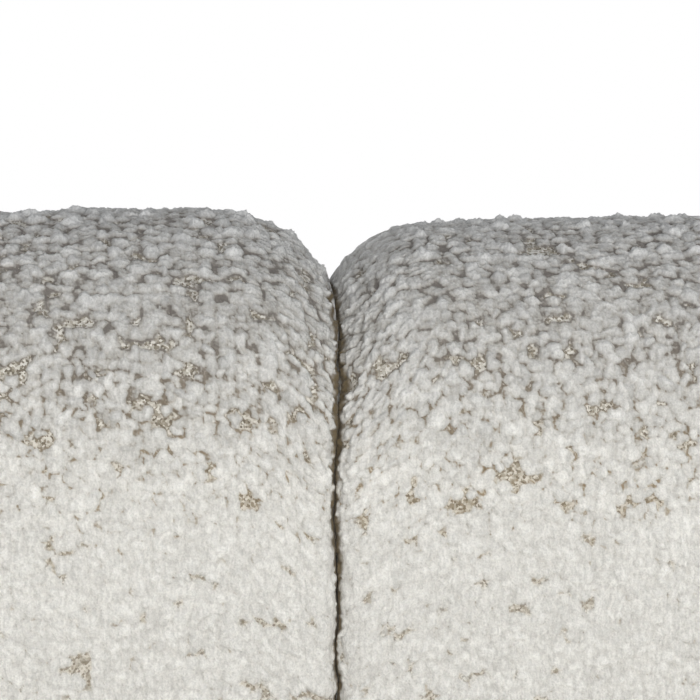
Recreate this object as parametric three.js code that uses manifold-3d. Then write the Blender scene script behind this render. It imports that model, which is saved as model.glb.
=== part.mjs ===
// A tuxedo sofa: arms and back stand at one height, and the back is two fat upholstered sections that press
// against each other along a deep vertical groove. Millimetres, +Z up, the seat looks along -Y, and the
// origin is on the floor under the middle of the sofa.
//
// The sofa comes apart as it is made. A sprung seat base is bolted to two arms and two back sections, each a
// timber frame in a thick foam pad. Two zipped seat cushions lie loose on the deck, and six turned legs are
// screwed on from below.
import * as THREE from "three";
import { mergeVertices } from "three/addons/utils/BufferGeometryUtils.js";
import Module from "manifold-3d";

const wasm = await Module();
wasm.setup();

// Whole sofa
const overallWidth = 2080;
const overallDepth = 900;
const legHeight = 120; // floor to the underside of the upholstery
const padHeight = 640; // underside of the upholstery to the top of the arms and back
const armThickness = 205;
const backThickness = 235;

// Gaps between pieces that touch
const softGap = 0.6; // soft against soft or against its frame
const fitGap = 0.3; // hard against hard
const cutOverrun = 5; // how far a cutter runs past the face that it cuts

// Arm pads
const armFoam = 50; // foam between the arm's frame and its faces
const armEndFoam = 48;
const armTopFoam = 60;
const armTopRadius = 92;
const armEdgeRadius = 46; // in plan, where the arm's sides turn to its ends
const armShoulderRadius = 88; // in the arm's side view, where its top turns to its ends
const armSideCrown = 6;
const armEndCrown = 7;
const armTopFall = 4; // the top sinks this far from mid-length to the ends
const domeHeightShare = 0.75; // where the ring of an end's dome stands, of its crown
const domeRoomShare = 0.5; // and of the way in from the end's round

// Back pads
const backFrontFoam = 82;
const backRearFoam = 46;
const backTopFoam = 62;
const backEndFoam = 34;
const backFrontTopRadius = 112;
const backRearTopRadius = 95;
const backEdgeRadius = 26; // in plan, where the faces turn into the groove
const backShoulderRadius = 86; // seen from the front, where the top turns into the groove
const backFaceCrown = 9;
const backTopFall = 6;
const pressedSweepDegrees = 56; // where a section presses on its neighbour, its rounds stop at this angle
const padFootRadius = 14;
const leastPadRound = 1.5; // the tightest round that foam under cloth can take

// Seat base: rails, centre rail and corner blocks
const railHeight = 130;
const railThickness = 28;
const centreRailWidth = 62;
const blockLeg = 74;
const blockHeight = 64;
const dustCoverThickness = 1.5;
const borderThickness = 44; // the padded front of the seat base
const borderSetback = 6;
const borderTopRadius = 18;
const borderEndRadius = 18;
const borderCrown = 5;

// Arm and back frames
const postWidth = 62;
const topRailHeight = 46;
const frameCornerRadius = 12;
const windowRadius = 20;
const slatWidth = 50;

// Springs and deck
const springsPerSeat = 4;
const wireDiameter = 4;
const springWidth = 52;
const springPitch = 52; // between neighbouring cross bars
const springArch = 14;
const clipSheet = 1.5;
const clipWidth = 20;
const clipEdge = 2; // from the clip's tail to the rail's outer face
const deckThickness = 34; // at the rails; the springs arch up into it

// Seat cushions
const cushionEdgeHeight = 128;
const cushionCrown = 28;
const cushionCornerRadius = 40;
const cushionEndRadius = 38;
const cushionFrontSetback = 8;
const cushionFrontCrown = 6;
const coverWall = 6;
const coreGap = 0.5;
const zipWidth = 10;
const zipTapeThickness = 3;
const zipLengthShare = 0.72; // of the cushion's width
const zipSliderLength = 14;
const zipSliderHeight = 6;
const zipSliderDepth = 2;

// Legs and fasteners
const legTopRadius = 27;
const legShoulderHeight = 9;
const legFootRadius = 15;
const legFootRound = 3;
const legInset = 104; // from the arm's ends to the leg's axis
const centreLegInset = 78; // from the seat base's front and rear to the leg's axis
const glideRadius = 12;
const glideThickness = 6;
const glideEdge = 1.5;
const glideNailRadius = 1.8;
const glideNailLength = 14;
const boltRadius = 4;
const boltGap = 0.3;
const boltHeadRadius = 8;
const boltHeadHeight = 5;
const boltChamfer = 1;
const boltBite = 56; // how far a frame bolt enters the arm or back frame
const armBoltInset = 140; // from the seat base's front and rear
const backBoltOuterInset = 160; // from the seat base's end
const backBoltInnerInset = 130; // from the middle of the sofa
const hangerInLeg = 34;
const hangerInFrame = 38;

// Levels and lines that several pieces share
const seatHalfWidth = overallWidth / 2 - armThickness;
const frontLine = -overallDepth / 2;
const rearLine = overallDepth / 2;
const backFront = rearLine - backThickness;
const frameFoot = legHeight + dustCoverThickness + fitGap;
const railTop = frameFoot + railHeight;
const springLevel = railTop + fitGap + clipSheet + wireDiameter / 2;
const deckUnderside = springLevel + wireDiameter / 2 + clipSheet + fitGap;
const deckTop = deckUnderside + deckThickness;
const baseHalfWidth = seatHalfWidth + armFoam - fitGap;
const baseFront = frontLine + borderSetback + borderThickness + softGap;
const baseRear = backFront + backFrontFoam - fitGap;
const baseDepth = baseRear - baseFront;
const boltLevel = frameFoot + railHeight / 2;
const sectionStart = softGap / 2; // the inner end of a back section or cushion, from the middle
const sectionWidth = seatHalfWidth - softGap - sectionStart;
const sectionAxis = sectionStart + sectionWidth / 2;

const sides = [
  { name: "left", sign: -1 },
  { name: "right", sign: 1 },
];

// Facet counts
const padSteps = 4; // along a round
const cushionSteps = 4;
const linerSteps = 3; // inside a cushion
const footSteps = 2;
const bowSteps = 4; // across a bowed face; an even count puts a point on the top of the bow
const runSteps = 4; // along the length between the end rounds
const frameSteps = 3;
const roundSegments = 12;
const boltSegments = 8;
const wireSides = 4;
const turnSteps = 3;
const clipSteps = 6;
const archSteps = 10;

// Materials
const material = (color, roughness, metalness) =>
  new THREE.MeshStandardMaterial({ color, roughness, metalness });
const ivoryBoucle = material(0xdedad2, 0.95, 0);
const deckCloth = material(0xb9b0a2, 0.9, 0);
const blackCambric = material(0x2a2a2c, 0.95, 0);
const seatFoam = material(0xe9e2c4, 0.9, 0);
const zipNylon = material(0xcfc8bb, 0.6, 0);
const framePine = material(0xc9a36f, 0.75, 0);
const framePlywood = material(0xd1b285, 0.7, 0);
const turnedWalnut = material(0x5b3a26, 0.45, 0);
const springSteel = material(0x5c5f63, 0.4, 0.9);
const zincSteel = material(0xa9abae, 0.35, 0.9);
const glideNylon = material(0x3a3733, 0.6, 0);

// Geometry helpers

/** A named mesh at a place, turned by Euler angles. */
function piece(name, geometry, surface, place = [0, 0, 0], turn = [0, 0, 0]) {
  const mesh = new THREE.Mesh(geometry, surface);
  mesh.name = name;
  mesh.position.set(...place);
  mesh.rotation.set(...turn);
  return mesh;
}

/** An unnamed solid that only cuts another, or joins it. */
const cutter = (geometry, place, turn) => piece("", geometry, undefined, place, turn);

/** A box between two corners. */
function boxBetween(name, surface, low, high) {
  const size = high.map((value, axis) => value - low[axis]);
  const centre = high.map((value, axis) => (value + low[axis]) / 2);
  return piece(name, new THREE.BoxGeometry(...size), surface, centre);
}

/** A geometry as a manifold solid, placed by a matrix. */
function toSolid(geometry, matrix) {
  const bare = new THREE.BufferGeometry();
  bare.setAttribute("position", geometry.getAttribute("position").clone());
  if (geometry.index) bare.setIndex(geometry.index.clone());
  const merged = mergeVertices(bare.applyMatrix4(matrix));
  return new wasm.Manifold(
    new wasm.Mesh({
      numProp: 3,
      vertProperties: merged.attributes.position.array,
      triVerts: new Uint32Array(merged.index.array),
    }),
  );
}

/** A manifold solid as a geometry. */
function toGeometry(solid) {
  const mesh = solid.getMesh();
  const geometry = new THREE.BufferGeometry();
  geometry.setAttribute("position", new THREE.BufferAttribute(mesh.vertProperties, mesh.numProp));
  geometry.setIndex(new THREE.BufferAttribute(mesh.triVerts, 1));
  geometry.computeVertexNormals();
  return geometry;
}

/** Joins or cuts a mesh by others that stand in the same group, and keeps its own frame. */
function combine(mesh, operation, others) {
  mesh.updateMatrix();
  const toLocal = mesh.matrix.clone().invert();
  let solid = toSolid(mesh.geometry, new THREE.Matrix4());
  for (const other of others) {
    other.updateMatrix();
    solid = solid[operation](toSolid(other.geometry, toLocal.clone().multiply(other.matrix)));
  }
  mesh.geometry = toGeometry(solid);
  return mesh;
}
const carve = (mesh, ...others) => combine(mesh, "subtract", others);
const join = (mesh, ...others) => combine(mesh, "add", others);

// Turns that lay an extruded outline or a turned shape along an axis of the sofa
const quarter = Math.PI / 2;
const outlineAcrossSofa = [quarter, quarter, 0]; // outline in Y and Z, extruded along +X
const outlineFacingFront = [quarter, 0, 0]; // outline in X and Z, extruded along -Y
const standing = [quarter, 0, 0]; // a turned shape's axis along +Z
const alongX = (sign) => [0, 0, -sign * quarter]; // a turned shape's axis along +X or -X

/** A solid of revolution from (radius, height) pairs that start and end on the axis, given top first. */
function turned(pairs, segments) {
  return new THREE.LatheGeometry(
    pairs.map(([radius, height]) => new THREE.Vector2(radius, height)),
    segments,
  );
}

/** A rectangle with round corners, as a Shape or a hole. */
function roundedRectangle(target, left, bottom, right, top, radius) {
  const round = Math.min(radius, (right - left) / 2, (top - bottom) / 2);
  target.moveTo(left + round, bottom);
  target.lineTo(right - round, bottom);
  target.absarc(right - round, bottom + round, round, -quarter, 0);
  target.lineTo(right, top - round);
  target.absarc(right - round, top - round, round, 0, quarter);
  target.lineTo(left + round, top);
  target.absarc(left + round, top - round, round, quarter, 2 * quarter);
  target.lineTo(left, bottom + round);
  target.absarc(left + round, bottom + round, round, 2 * quarter, 3 * quarter);
  return target;
}

// Padded forms

/**
 * One slice of a padded form, as points (across, up): a rounded rectangle whose faces are drawn in by
 * `faceInset` and whose top sinks by `topInset`. Each face bows out by its crown in the middle, times `bow`.
 */
function padSlice(form, faceInset, topInset, bow) {
  const { thickness, height, frontTopRadius, rearTopRadius, footRadius, crown, footFlat } = form;
  const front = -thickness / 2 + crown.front + faceInset;
  const rear = thickness / 2 - crown.rear - faceInset;
  const top = height - crown.top - topInset;
  const foot = crown.foot + (footFlat ? 0 : topInset);
  const middle = (front + rear) / 2;
  const round = (radius) => Math.max(Math.min(radius, rear - middle, (top - foot) / 2), leastPadRound);
  const frontUpper = round(frontTopRadius - faceInset);
  const rearUpper = round(rearTopRadius - faceInset);
  const lower = round(footFlat ? footRadius : footRadius - faceInset);
  const { topSteps, baseSteps } = form;
  const arcs = [
    { across: rear - lower, up: foot + lower, radius: lower, start: -quarter, steps: baseSteps },
    { across: rear - rearUpper, up: top - rearUpper, radius: rearUpper, start: 0, steps: topSteps },
    { across: front + frontUpper, up: top - frontUpper, radius: frontUpper, start: quarter, steps: topSteps },
    { across: front + lower, up: foot + lower, radius: lower, start: 2 * quarter, steps: baseSteps },
  ];
  const bows = [crown.rear, crown.top, crown.front, crown.foot];
  const outward = [
    [1, 0],
    [0, 1],
    [-1, 0],
    [0, -1],
  ];
  const pointOn = ({ across, up, radius: reach }, angle) => [
    across + reach * Math.cos(angle),
    up + reach * Math.sin(angle),
  ];
  const points = [];
  arcs.forEach((arc, index) => {
    for (let step = 0; step <= arc.steps; step++) {
      const angle = arc.start + (quarter * step) / arc.steps;
      points.push(pointOn(arc, angle));
    }
    const next = arcs[(index + 1) % arcs.length];
    const from = pointOn(arc, arc.start + quarter);
    const to = pointOn(next, next.start);
    const steps = bows[index] > 0 ? bowSteps : 1;
    for (let step = 1; step < steps; step++) {
      const share = step / steps;
      const lift = bows[index] * bow * (1 - (2 * share - 1) ** 2);
      points.push(
        outward[index].map((way, axis) => from[axis] + (to[axis] - from[axis]) * share + lift * way),
      );
    }
  });
  return points;
}

/** How far a round of a given radius and sweep has drawn in, at a distance from the end that it closes. */
function roundInset(radius, sweep, distance) {
  const run = radius * Math.sin(sweep);
  return distance < run ? radius - Math.sqrt(radius ** 2 - (run - distance) ** 2) : 0;
}

/**
 * A padded form lofted along X: slices that bow out towards the middle and draw in at each end, on a tight
 * round at the faces and a wider one at the top. An end with a sweep under a quarter turn is pressed flat
 * against its neighbour; a free end closes in a low dome.
 */
function paddedForm(form) {
  const { length, thickness, edgeRadius, shoulderRadius, sweep, endCrown, topFall, topSteps } = form;
  const dome = sweep < quarter ? 0 : endCrown;
  const distances = new Set();
  for (const radius of [edgeRadius, shoulderRadius]) {
    for (let step = 0; step <= topSteps; step++) {
      const turn = (sweep * step) / topSteps;
      distances.add(radius * (Math.sin(sweep) - Math.sin(turn)));
    }
  }
  const ends = [...distances]
    .sort((near, far) => near - far)
    .filter((distance, index, all) => !index || distance - all[index - 1] > leastPadRound);
  const half = length / 2 - dome;
  const slices = ends.map((distance) => ({
    along: half - distance,
    faceInset: roundInset(edgeRadius, sweep, distance),
    topInset: roundInset(shoulderRadius, sweep, distance),
  }));
  const room = thickness / 2 - edgeRadius;
  if (dome && room > 0) {
    slices.unshift({
      along: half + dome * domeHeightShare,
      faceInset: edgeRadius + room * domeRoomShare,
      topInset: shoulderRadius + room * domeRoomShare,
    });
  }
  const inner = slices[slices.length - 1].along;
  const middle = [];
  for (let step = 1; step < runSteps; step++) {
    middle.push({ along: inner * ((2 * step) / runSteps - 1), faceInset: 0, topInset: 0 });
  }
  const mirrored = slices.map((slice) => ({ ...slice, along: -slice.along }));
  const stations = [...mirrored, ...middle, ...slices.reverse()];

  const positions = [];
  const indices = [];
  let ringSize = 0;
  stations.forEach(({ along, faceInset, topInset }) => {
    const reach = (2 * along) / length;
    const ring = padSlice(form, faceInset, topInset + topFall * reach ** 2, 1 - reach ** 2);
    ringSize = ring.length;
    ring.forEach(([across, up]) => positions.push(along, across, up));
  });
  for (let station = 0; station + 1 < stations.length; station++) {
    for (let point = 0; point < ringSize; point++) {
      const here = station * ringSize + point;
      const beside = station * ringSize + ((point + 1) % ringSize);
      indices.push(here, beside, beside + ringSize, here, beside + ringSize, here + ringSize);
    }
  }
  const closeEnd = (first, along, flip) => {
    const hub = positions.length / 3;
    let up = 0;
    for (let point = 0; point < ringSize; point++) up += positions[3 * (first + point) + 2] / ringSize;
    positions.push(along, 0, up);
    for (let point = 0; point < ringSize; point++) {
      const here = first + point;
      const beside = first + ((point + 1) % ringSize);
      indices.push(hub, ...(flip ? [beside, here] : [here, beside]));
    }
  };
  closeEnd(0, -length / 2, true);
  closeEnd((stations.length - 1) * ringSize, length / 2, false);
  const geometry = new THREE.BufferGeometry();
  geometry.setAttribute("position", new THREE.Float32BufferAttribute(positions, 3));
  geometry.setIndex(indices);
  geometry.computeVertexNormals();
  return geometry;
}

const padDefaults = {
  endCrown: 0,
  topFall: 0,
  footRadius: padFootRadius,
  footFlat: true,
  topSteps: padSteps,
  baseSteps: footSteps,
  sweep: quarter,
};
const pressedSweep = THREE.MathUtils.degToRad(pressedSweepDegrees);

/** A box that only cuts. */
const block = (low, high) => boxBetween("", undefined, low, high);

// Frame of an arm: a deep foot rail, two posts and a top rail, with a window between them
const armFrameWidth = armThickness - 2 * armFoam;
const armFrameFront = frontLine + armEndFoam;
const armFrameRear = rearLine - armEndFoam;
const armFrameTop = legHeight + padHeight - armTopFoam;
const armAxis = seatHalfWidth + armThickness / 2;

/** One arm's timber frame, bored for its legs and its two bolts. */
function armFrame(side, fasteners) {
  const outline = new THREE.Shape();
  roundedRectangle(outline, armFrameFront, legHeight, armFrameRear, armFrameTop, frameCornerRadius);
  outline.holes.push(
    roundedRectangle(
      new THREE.Path(),
      armFrameFront + postWidth,
      railTop,
      armFrameRear - postWidth,
      armFrameTop - topRailHeight,
      windowRadius,
    ),
  );
  const geometry = new THREE.ExtrudeGeometry(outline, {
    depth: armFrameWidth,
    bevelEnabled: false,
    curveSegments: frameSteps,
  });
  const left = side.sign * armAxis - armFrameWidth / 2;
  const frame = piece(`arm_frame_${side.name}`, geometry, framePine, [left, 0, 0], outlineAcrossSofa);
  return carve(frame, ...fasteners);
}

/** One arm's pad: foam and cover in one form, hollow for its frame and open below for the seat base. */
function armPad(side) {
  const form = paddedForm({
    ...padDefaults,
    length: overallDepth,
    thickness: armThickness,
    height: padHeight,
    frontTopRadius: armTopRadius,
    rearTopRadius: armTopRadius,
    edgeRadius: armEdgeRadius,
    shoulderRadius: armShoulderRadius,
    endCrown: armEndCrown,
    topFall: armTopFall,
    crown: { front: armSideCrown, rear: armSideCrown, top: 0, foot: 0 },
  });
  const pad = piece(
    `arm_pad_${side.name}`,
    form,
    ivoryBoucle,
    [side.sign * armAxis, 0, legHeight],
    [0, 0, quarter],
  );
  const innerFace = seatHalfWidth - cutOverrun;
  const frameInner = seatHalfWidth + armFoam;
  const spans = [side.sign * innerFace, side.sign * frameInner].sort((a, b) => a - b);
  const pocket = block(
    [spans[0], baseFront - softGap, legHeight - cutOverrun],
    [spans[1], baseRear + softGap, deckTop + softGap],
  );
  const half = armFrameWidth / 2 + softGap;
  const slot = block(
    [side.sign * armAxis - half, armFrameFront - softGap, legHeight - cutOverrun],
    [side.sign * armAxis + half, armFrameRear + softGap, armFrameTop + softGap],
  );
  return carve(pad, pocket, slot);
}

// Frame of a back section: as the arm's, with a slat down its middle
const backFrameFront = backFront + backFrontFoam;
const backFrameRear = rearLine - backRearFoam;
const backFrameTop = legHeight + padHeight - backTopFoam;
const backFrameHalfWidth = sectionWidth / 2 - backEndFoam;

/** One back section's timber frame, with two windows, bored for its two bolts. */
function backFrame(side, fasteners) {
  const outline = new THREE.Shape();
  roundedRectangle(
    outline,
    -backFrameHalfWidth,
    legHeight,
    backFrameHalfWidth,
    backFrameTop,
    frameCornerRadius,
  );
  const windowTop = backFrameTop - topRailHeight;
  const windows = [
    [-backFrameHalfWidth + postWidth, -slatWidth / 2],
    [slatWidth / 2, backFrameHalfWidth - postWidth],
  ];
  for (const [left, right] of windows) {
    outline.holes.push(roundedRectangle(new THREE.Path(), left, railTop, right, windowTop, windowRadius));
  }
  const geometry = new THREE.ExtrudeGeometry(outline, {
    depth: backFrameRear - backFrameFront,
    bevelEnabled: false,
    curveSegments: frameSteps,
  });
  const place = [side.sign * sectionAxis, backFrameRear, 0];
  const frame = piece(`back_frame_${side.name}`, geometry, framePine, place, outlineFacingFront);
  return carve(frame, ...fasteners);
}

/** One back section's pad, pressed flat against the arm at one end and its neighbour at the other. */
function backPad(side) {
  const form = paddedForm({
    ...padDefaults,
    length: sectionWidth,
    thickness: backThickness,
    height: padHeight,
    frontTopRadius: backFrontTopRadius,
    rearTopRadius: backRearTopRadius,
    edgeRadius: backEdgeRadius,
    shoulderRadius: backShoulderRadius,
    sweep: pressedSweep,
    topFall: backTopFall,
    crown: { front: backFaceCrown, rear: backFaceCrown, top: 0, foot: 0 },
  });
  const axis = side.sign * sectionAxis;
  const middle = rearLine - backThickness / 2;
  const pad = piece(`back_pad_${side.name}`, form, ivoryBoucle, [axis, middle, legHeight]);
  const half = seatHalfWidth / 2 + cutOverrun;
  const pocket = block(
    [axis - half, backFront - cutOverrun, legHeight - cutOverrun],
    [axis + half, backFrameFront, deckTop + softGap],
  );
  const slotHalf = backFrameHalfWidth + softGap;
  const slot = block(
    [axis - slotHalf, backFrameFront - softGap, legHeight - cutOverrun],
    [axis + slotHalf, backFrameRear + softGap, backFrameTop + softGap],
  );
  return carve(pad, pocket, slot);
}

// Fasteners

/** The places of the bolts that hold the arms and back sections to the seat base. */
function frameBoltPlaces() {
  const places = [];
  for (const side of sides) {
    const inside = side.sign * (baseHalfWidth - railThickness);
    for (const [end, y] of [
      ["front", baseFront + armBoltInset],
      ["rear", baseRear - armBoltInset],
    ]) {
      places.push({
        name: `arm_bolt_${side.name}_${end}`,
        at: [inside, y, boltLevel],
        turn: alongX(side.sign),
      });
    }
    for (const [end, x] of [
      ["outer", baseHalfWidth - backBoltOuterInset],
      ["inner", backBoltInnerInset],
    ]) {
      places.push({
        name: `back_bolt_${side.name}_${end}`,
        at: [side.sign * x, baseRear - railThickness, boltLevel],
        turn: [0, 0, 0],
      });
    }
  }
  return places;
}

/** A bolt: a low round head under the origin and a chamfered shank above it. */
function boltGeometry(shank) {
  return turned(
    [
      [0, -fitGap - boltHeadHeight],
      [boltHeadRadius - boltChamfer, -fitGap - boltHeadHeight],
      [boltHeadRadius, -fitGap - boltHeadHeight + boltChamfer],
      [boltHeadRadius, -fitGap],
      [boltRadius, -fitGap],
      [boltRadius, shank - boltChamfer],
      [boltRadius - boltChamfer, shank],
      [0, shank],
    ],
    boltSegments,
  );
}

/** The hole that a bolt or stud of a given reach needs, cut along +Y of its own frame from `start`. */
function boreGeometry(start, end) {
  const geometry = new THREE.CylinderGeometry(
    boltRadius + boltGap,
    boltRadius + boltGap,
    end - start,
    boltSegments,
  );
  return geometry.translate(0, (start + end) / 2, 0);
}

const frameBoltShank = railThickness + boltBite;
const frameBolts = frameBoltPlaces();
const frameBoltBores = frameBolts.map(({ at, turn }) =>
  cutter(boreGeometry(-cutOverrun, frameBoltShank + fitGap), at, turn),
);

// Legs

/** Where the six legs stand, and what carries them: an arm frame, or the centre rail of the seat base. */
const legPlaces = [
  ...sides.flatMap((side) => [
    { name: `front_${side.name}`, x: side.sign * armAxis, y: frontLine + legInset },
    { name: `rear_${side.name}`, x: side.sign * armAxis, y: rearLine - legInset },
  ]),
  { name: "front_centre", x: 0, y: baseFront + centreLegInset },
  { name: "rear_centre", x: 0, y: baseRear - centreLegInset },
];
const legTop = legHeight - fitGap;
const legFoot = glideThickness + fitGap;
const hangerBores = legPlaces.map(({ x, y }) =>
  cutter(boreGeometry(-cutOverrun, hangerInFrame + fitGap), [x, y, legHeight], standing),
);

/** One tapered turned leg with its hanger bolt above and its nailed glide below, standing at (x, y). */
function legUnit({ name, x, y }) {
  const unit = new THREE.Group();
  const boreRadius = boltRadius + boltGap;
  const nailRadius = glideNailRadius + boltGap;
  const leg = turned(
    [
      [0, legFoot + glideNailLength + fitGap],
      [nailRadius, legFoot + glideNailLength + fitGap],
      [nailRadius, legFoot],
      [legFootRadius - legFootRound, legFoot],
      [legFootRadius, legFoot + legFootRound],
      [legTopRadius, legTop - legShoulderHeight],
      [legTopRadius, legTop],
      [boreRadius, legTop],
      [boreRadius, legTop - hangerInLeg - fitGap],
      [0, legTop - hangerInLeg - fitGap],
    ],
    roundSegments,
  );
  const stud = turned(
    [
      [0, -hangerInLeg],
      [boltRadius - boltChamfer, -hangerInLeg],
      [boltRadius, -hangerInLeg + boltChamfer],
      [boltRadius, hangerInFrame - boltChamfer],
      [boltRadius - boltChamfer, hangerInFrame],
      [0, hangerInFrame],
    ],
    boltSegments,
  );
  const glide = turned(
    [
      [0, 0],
      [glideRadius - glideEdge, 0],
      [glideRadius, glideEdge],
      [glideRadius, glideThickness],
      [glideNailRadius, glideThickness],
      [glideNailRadius, legFoot + glideNailLength],
      [0, legFoot + glideNailLength],
    ],
    boltSegments,
  );
  unit.add(
    piece(`leg_${name}`, leg, turnedWalnut, [0, 0, 0], standing),
    piece(`hanger_bolt_${name}`, stud, zincSteel, [0, 0, legTop], standing),
    piece(`glide_${name}`, glide, glideNylon, [0, 0, 0], standing),
  );
  unit.position.set(x, y, 0);
  return unit;
}

// Seat base

/** Rails, centre rail and corner blocks, bored for the frame bolts and the centre legs. */
function baseTimbers() {
  const inner = baseHalfWidth - railThickness;
  const innerFront = baseFront + railThickness;
  const innerRear = baseRear - railThickness;
  const timbers = [
    boxBetween(
      "front_rail",
      framePlywood,
      [-inner + fitGap, baseFront, frameFoot],
      [inner - fitGap, innerFront, railTop],
    ),
    carve(
      boxBetween(
        "rear_rail",
        framePlywood,
        [-inner + fitGap, innerRear, frameFoot],
        [inner - fitGap, baseRear, railTop],
      ),
      ...frameBoltBores,
    ),
    carve(
      boxBetween(
        "centre_rail",
        framePlywood,
        [-centreRailWidth / 2, innerFront + fitGap, frameFoot],
        [centreRailWidth / 2, innerRear - fitGap, railTop],
      ),
      ...hangerBores,
    ),
  ];
  for (const side of sides) {
    const spans = [side.sign * inner, side.sign * baseHalfWidth].sort((a, b) => a - b);
    timbers.push(
      carve(
        boxBetween(
          `side_rail_${side.name}`,
          framePlywood,
          [spans[0], baseFront, frameFoot],
          [spans[1], baseRear, railTop],
        ),
        ...frameBoltBores,
      ),
    );
    for (const [end, y, inward] of [
      ["front", innerFront + fitGap, 1],
      ["rear", innerRear - fitGap, -1],
    ]) {
      const corner = side.sign * (inner - fitGap);
      const outline = new THREE.Shape([
        new THREE.Vector2(corner, y),
        new THREE.Vector2(corner - side.sign * blockLeg, y),
        new THREE.Vector2(corner, y + inward * blockLeg),
      ]);
      const geometry = new THREE.ExtrudeGeometry(outline, { depth: blockHeight, bevelEnabled: false });
      timbers.push(
        piece(`corner_block_${end}_${side.name}`, geometry, framePine, [0, 0, railTop - blockHeight]),
      );
    }
  }
  return timbers;
}

/** The centreline of a sinuous spring from its front bar to its rear bar: straight bars joined by U-turns. */
function springLine(span) {
  const bars = Math.max(Math.round(span / springPitch), 1);
  const pitch = span / bars;
  const turnRadius = pitch / 2;
  const reach = springWidth / 2 - turnRadius;
  const points = [];
  const put = (x, y) => {
    const height = springArch * (1 - ((2 * y) / span - 1) ** 2);
    points.push(new THREE.Vector3(x, y, height));
  };
  for (let bar = 0; bar < bars; bar++) {
    const hand = bar % 2 ? -1 : 1;
    put(-hand * reach, bar * pitch);
    for (let step = 0; step < turnSteps; step++) {
      const angle = (Math.PI * step) / turnSteps;
      put(hand * (reach + turnRadius * Math.sin(angle)), bar * pitch + turnRadius * (1 - Math.cos(angle)));
    }
  }
  const lastHand = bars % 2 ? 1 : -1;
  put(lastHand * reach, span);
  put(-lastHand * reach, span);
  return points;
}

/** A round wire along points that lie near one level, closed at both ends. */
function wireAlong(points, radius) {
  const positions = [];
  const indices = [];
  points.forEach((point, index) => {
    const before = points[Math.max(index - 1, 0)];
    const after = points[Math.min(index + 1, points.length - 1)];
    const ahead = after.clone().sub(before).normalize();
    const across = ahead.clone().cross(new THREE.Vector3(0, 0, 1)).normalize();
    const upward = across.clone().cross(ahead);
    for (let corner = 0; corner < wireSides; corner++) {
      const angle = (2 * Math.PI * corner) / wireSides;
      const rim = point
        .clone()
        .addScaledVector(across, radius * Math.cos(angle))
        .addScaledVector(upward, radius * Math.sin(angle));
      positions.push(...rim.toArray());
    }
  });
  for (let index = 0; index + 1 < points.length; index++) {
    for (let corner = 0; corner < wireSides; corner++) {
      const here = index * wireSides + corner;
      const beside = index * wireSides + ((corner + 1) % wireSides);
      indices.push(here, beside + wireSides, beside, here, here + wireSides, beside + wireSides);
    }
  }
  const last = (points.length - 1) * wireSides;
  for (let corner = 1; corner + 1 < wireSides; corner++) {
    indices.push(0, corner, corner + 1, last, last + corner + 1, last + corner);
  }
  const geometry = new THREE.BufferGeometry();
  geometry.setAttribute("position", new THREE.Float32BufferAttribute(positions, 3));
  geometry.setIndex(indices);
  return geometry;
}

/** A sheet clip folded round a spring's end bar, with its nailed tail towards the rail's outer face. */
function springClip(y, outward) {
  const bend = wireDiameter / 2 + clipSheet;
  const tail = railThickness / 2 - clipEdge;
  const outline = [
    [tail, -bend],
    [tail, clipSheet - bend],
    [bend, clipSheet - bend],
  ];
  for (let step = 0; step <= clipSteps; step++) {
    const angle = (3 * quarter * step) / clipSteps;
    outline.push([bend * Math.cos(angle), bend * Math.sin(angle)]);
  }
  const shape = new THREE.Shape(outline.map(([out, up]) => new THREE.Vector2(y + outward * out, up)));
  const geometry = new THREE.ExtrudeGeometry(shape, { depth: clipWidth, bevelEnabled: false });
  return cutter(geometry, [-clipWidth / 2, 0, 0], outlineAcrossSofa);
}

/** Eight sinuous springs, four under each cushion, each with its two clips on the front and rear rails. */
function seatSprings() {
  const firstBar = baseFront + railThickness / 2;
  const span = baseDepth - railThickness;
  const bayStart = centreRailWidth / 2;
  const bayPitch = (baseHalfWidth - railThickness - bayStart) / springsPerSeat;
  const line = springLine(span);
  return sides.flatMap((side) =>
    Array.from({ length: springsPerSeat }, (_, index) => {
      const spring = join(
        piece(`seat_spring_${side.name}_${index + 1}`, wireAlong(line, wireDiameter / 2), springSteel),
        springClip(0, -1),
        springClip(span, 1),
      );
      spring.position.set(side.sign * (bayStart + bayPitch * (index + 0.5)), firstBar, springLevel);
      return spring;
    }),
  );
}

/** The deck: a felt and foam layer, flat on top, hollowed below where the springs arch up into it. */
function seatDeck() {
  const outline = new THREE.Shape();
  const archFront = baseFront + railThickness;
  const archRear = baseRear - railThickness;
  outline.moveTo(baseFront, deckTop);
  outline.lineTo(baseFront, deckUnderside);
  for (let step = 0; step <= archSteps; step++) {
    const share = step / archSteps;
    const arch = springArch * (1 - (2 * share - 1) ** 2);
    outline.lineTo(archFront + (archRear - archFront) * share, deckUnderside + arch);
  }
  outline.lineTo(baseRear, deckUnderside);
  outline.lineTo(baseRear, deckTop);
  const geometry = new THREE.ExtrudeGeometry(outline, { depth: 2 * baseHalfWidth, bevelEnabled: false });
  return piece("seat_deck", geometry, deckCloth, [-baseHalfWidth, 0, 0], outlineAcrossSofa);
}

/** The padded front of the seat base, between the arms and under the cushions. */
function frontBorder() {
  const geometry = paddedForm({
    ...padDefaults,
    length: 2 * (seatHalfWidth - softGap),
    thickness: borderThickness,
    height: deckTop - legHeight,
    frontTopRadius: borderTopRadius,
    rearTopRadius: borderTopRadius,
    edgeRadius: borderEndRadius,
    shoulderRadius: borderEndRadius,
    sweep: pressedSweep,
    crown: { front: borderCrown, rear: 0, top: 0, foot: 0 },
    footRadius: borderCrown,
    topSteps: linerSteps,
  });
  const middle = frontLine + borderSetback + borderThickness / 2;
  return piece("front_border", geometry, ivoryBoucle, [0, middle, legHeight]);
}

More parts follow.
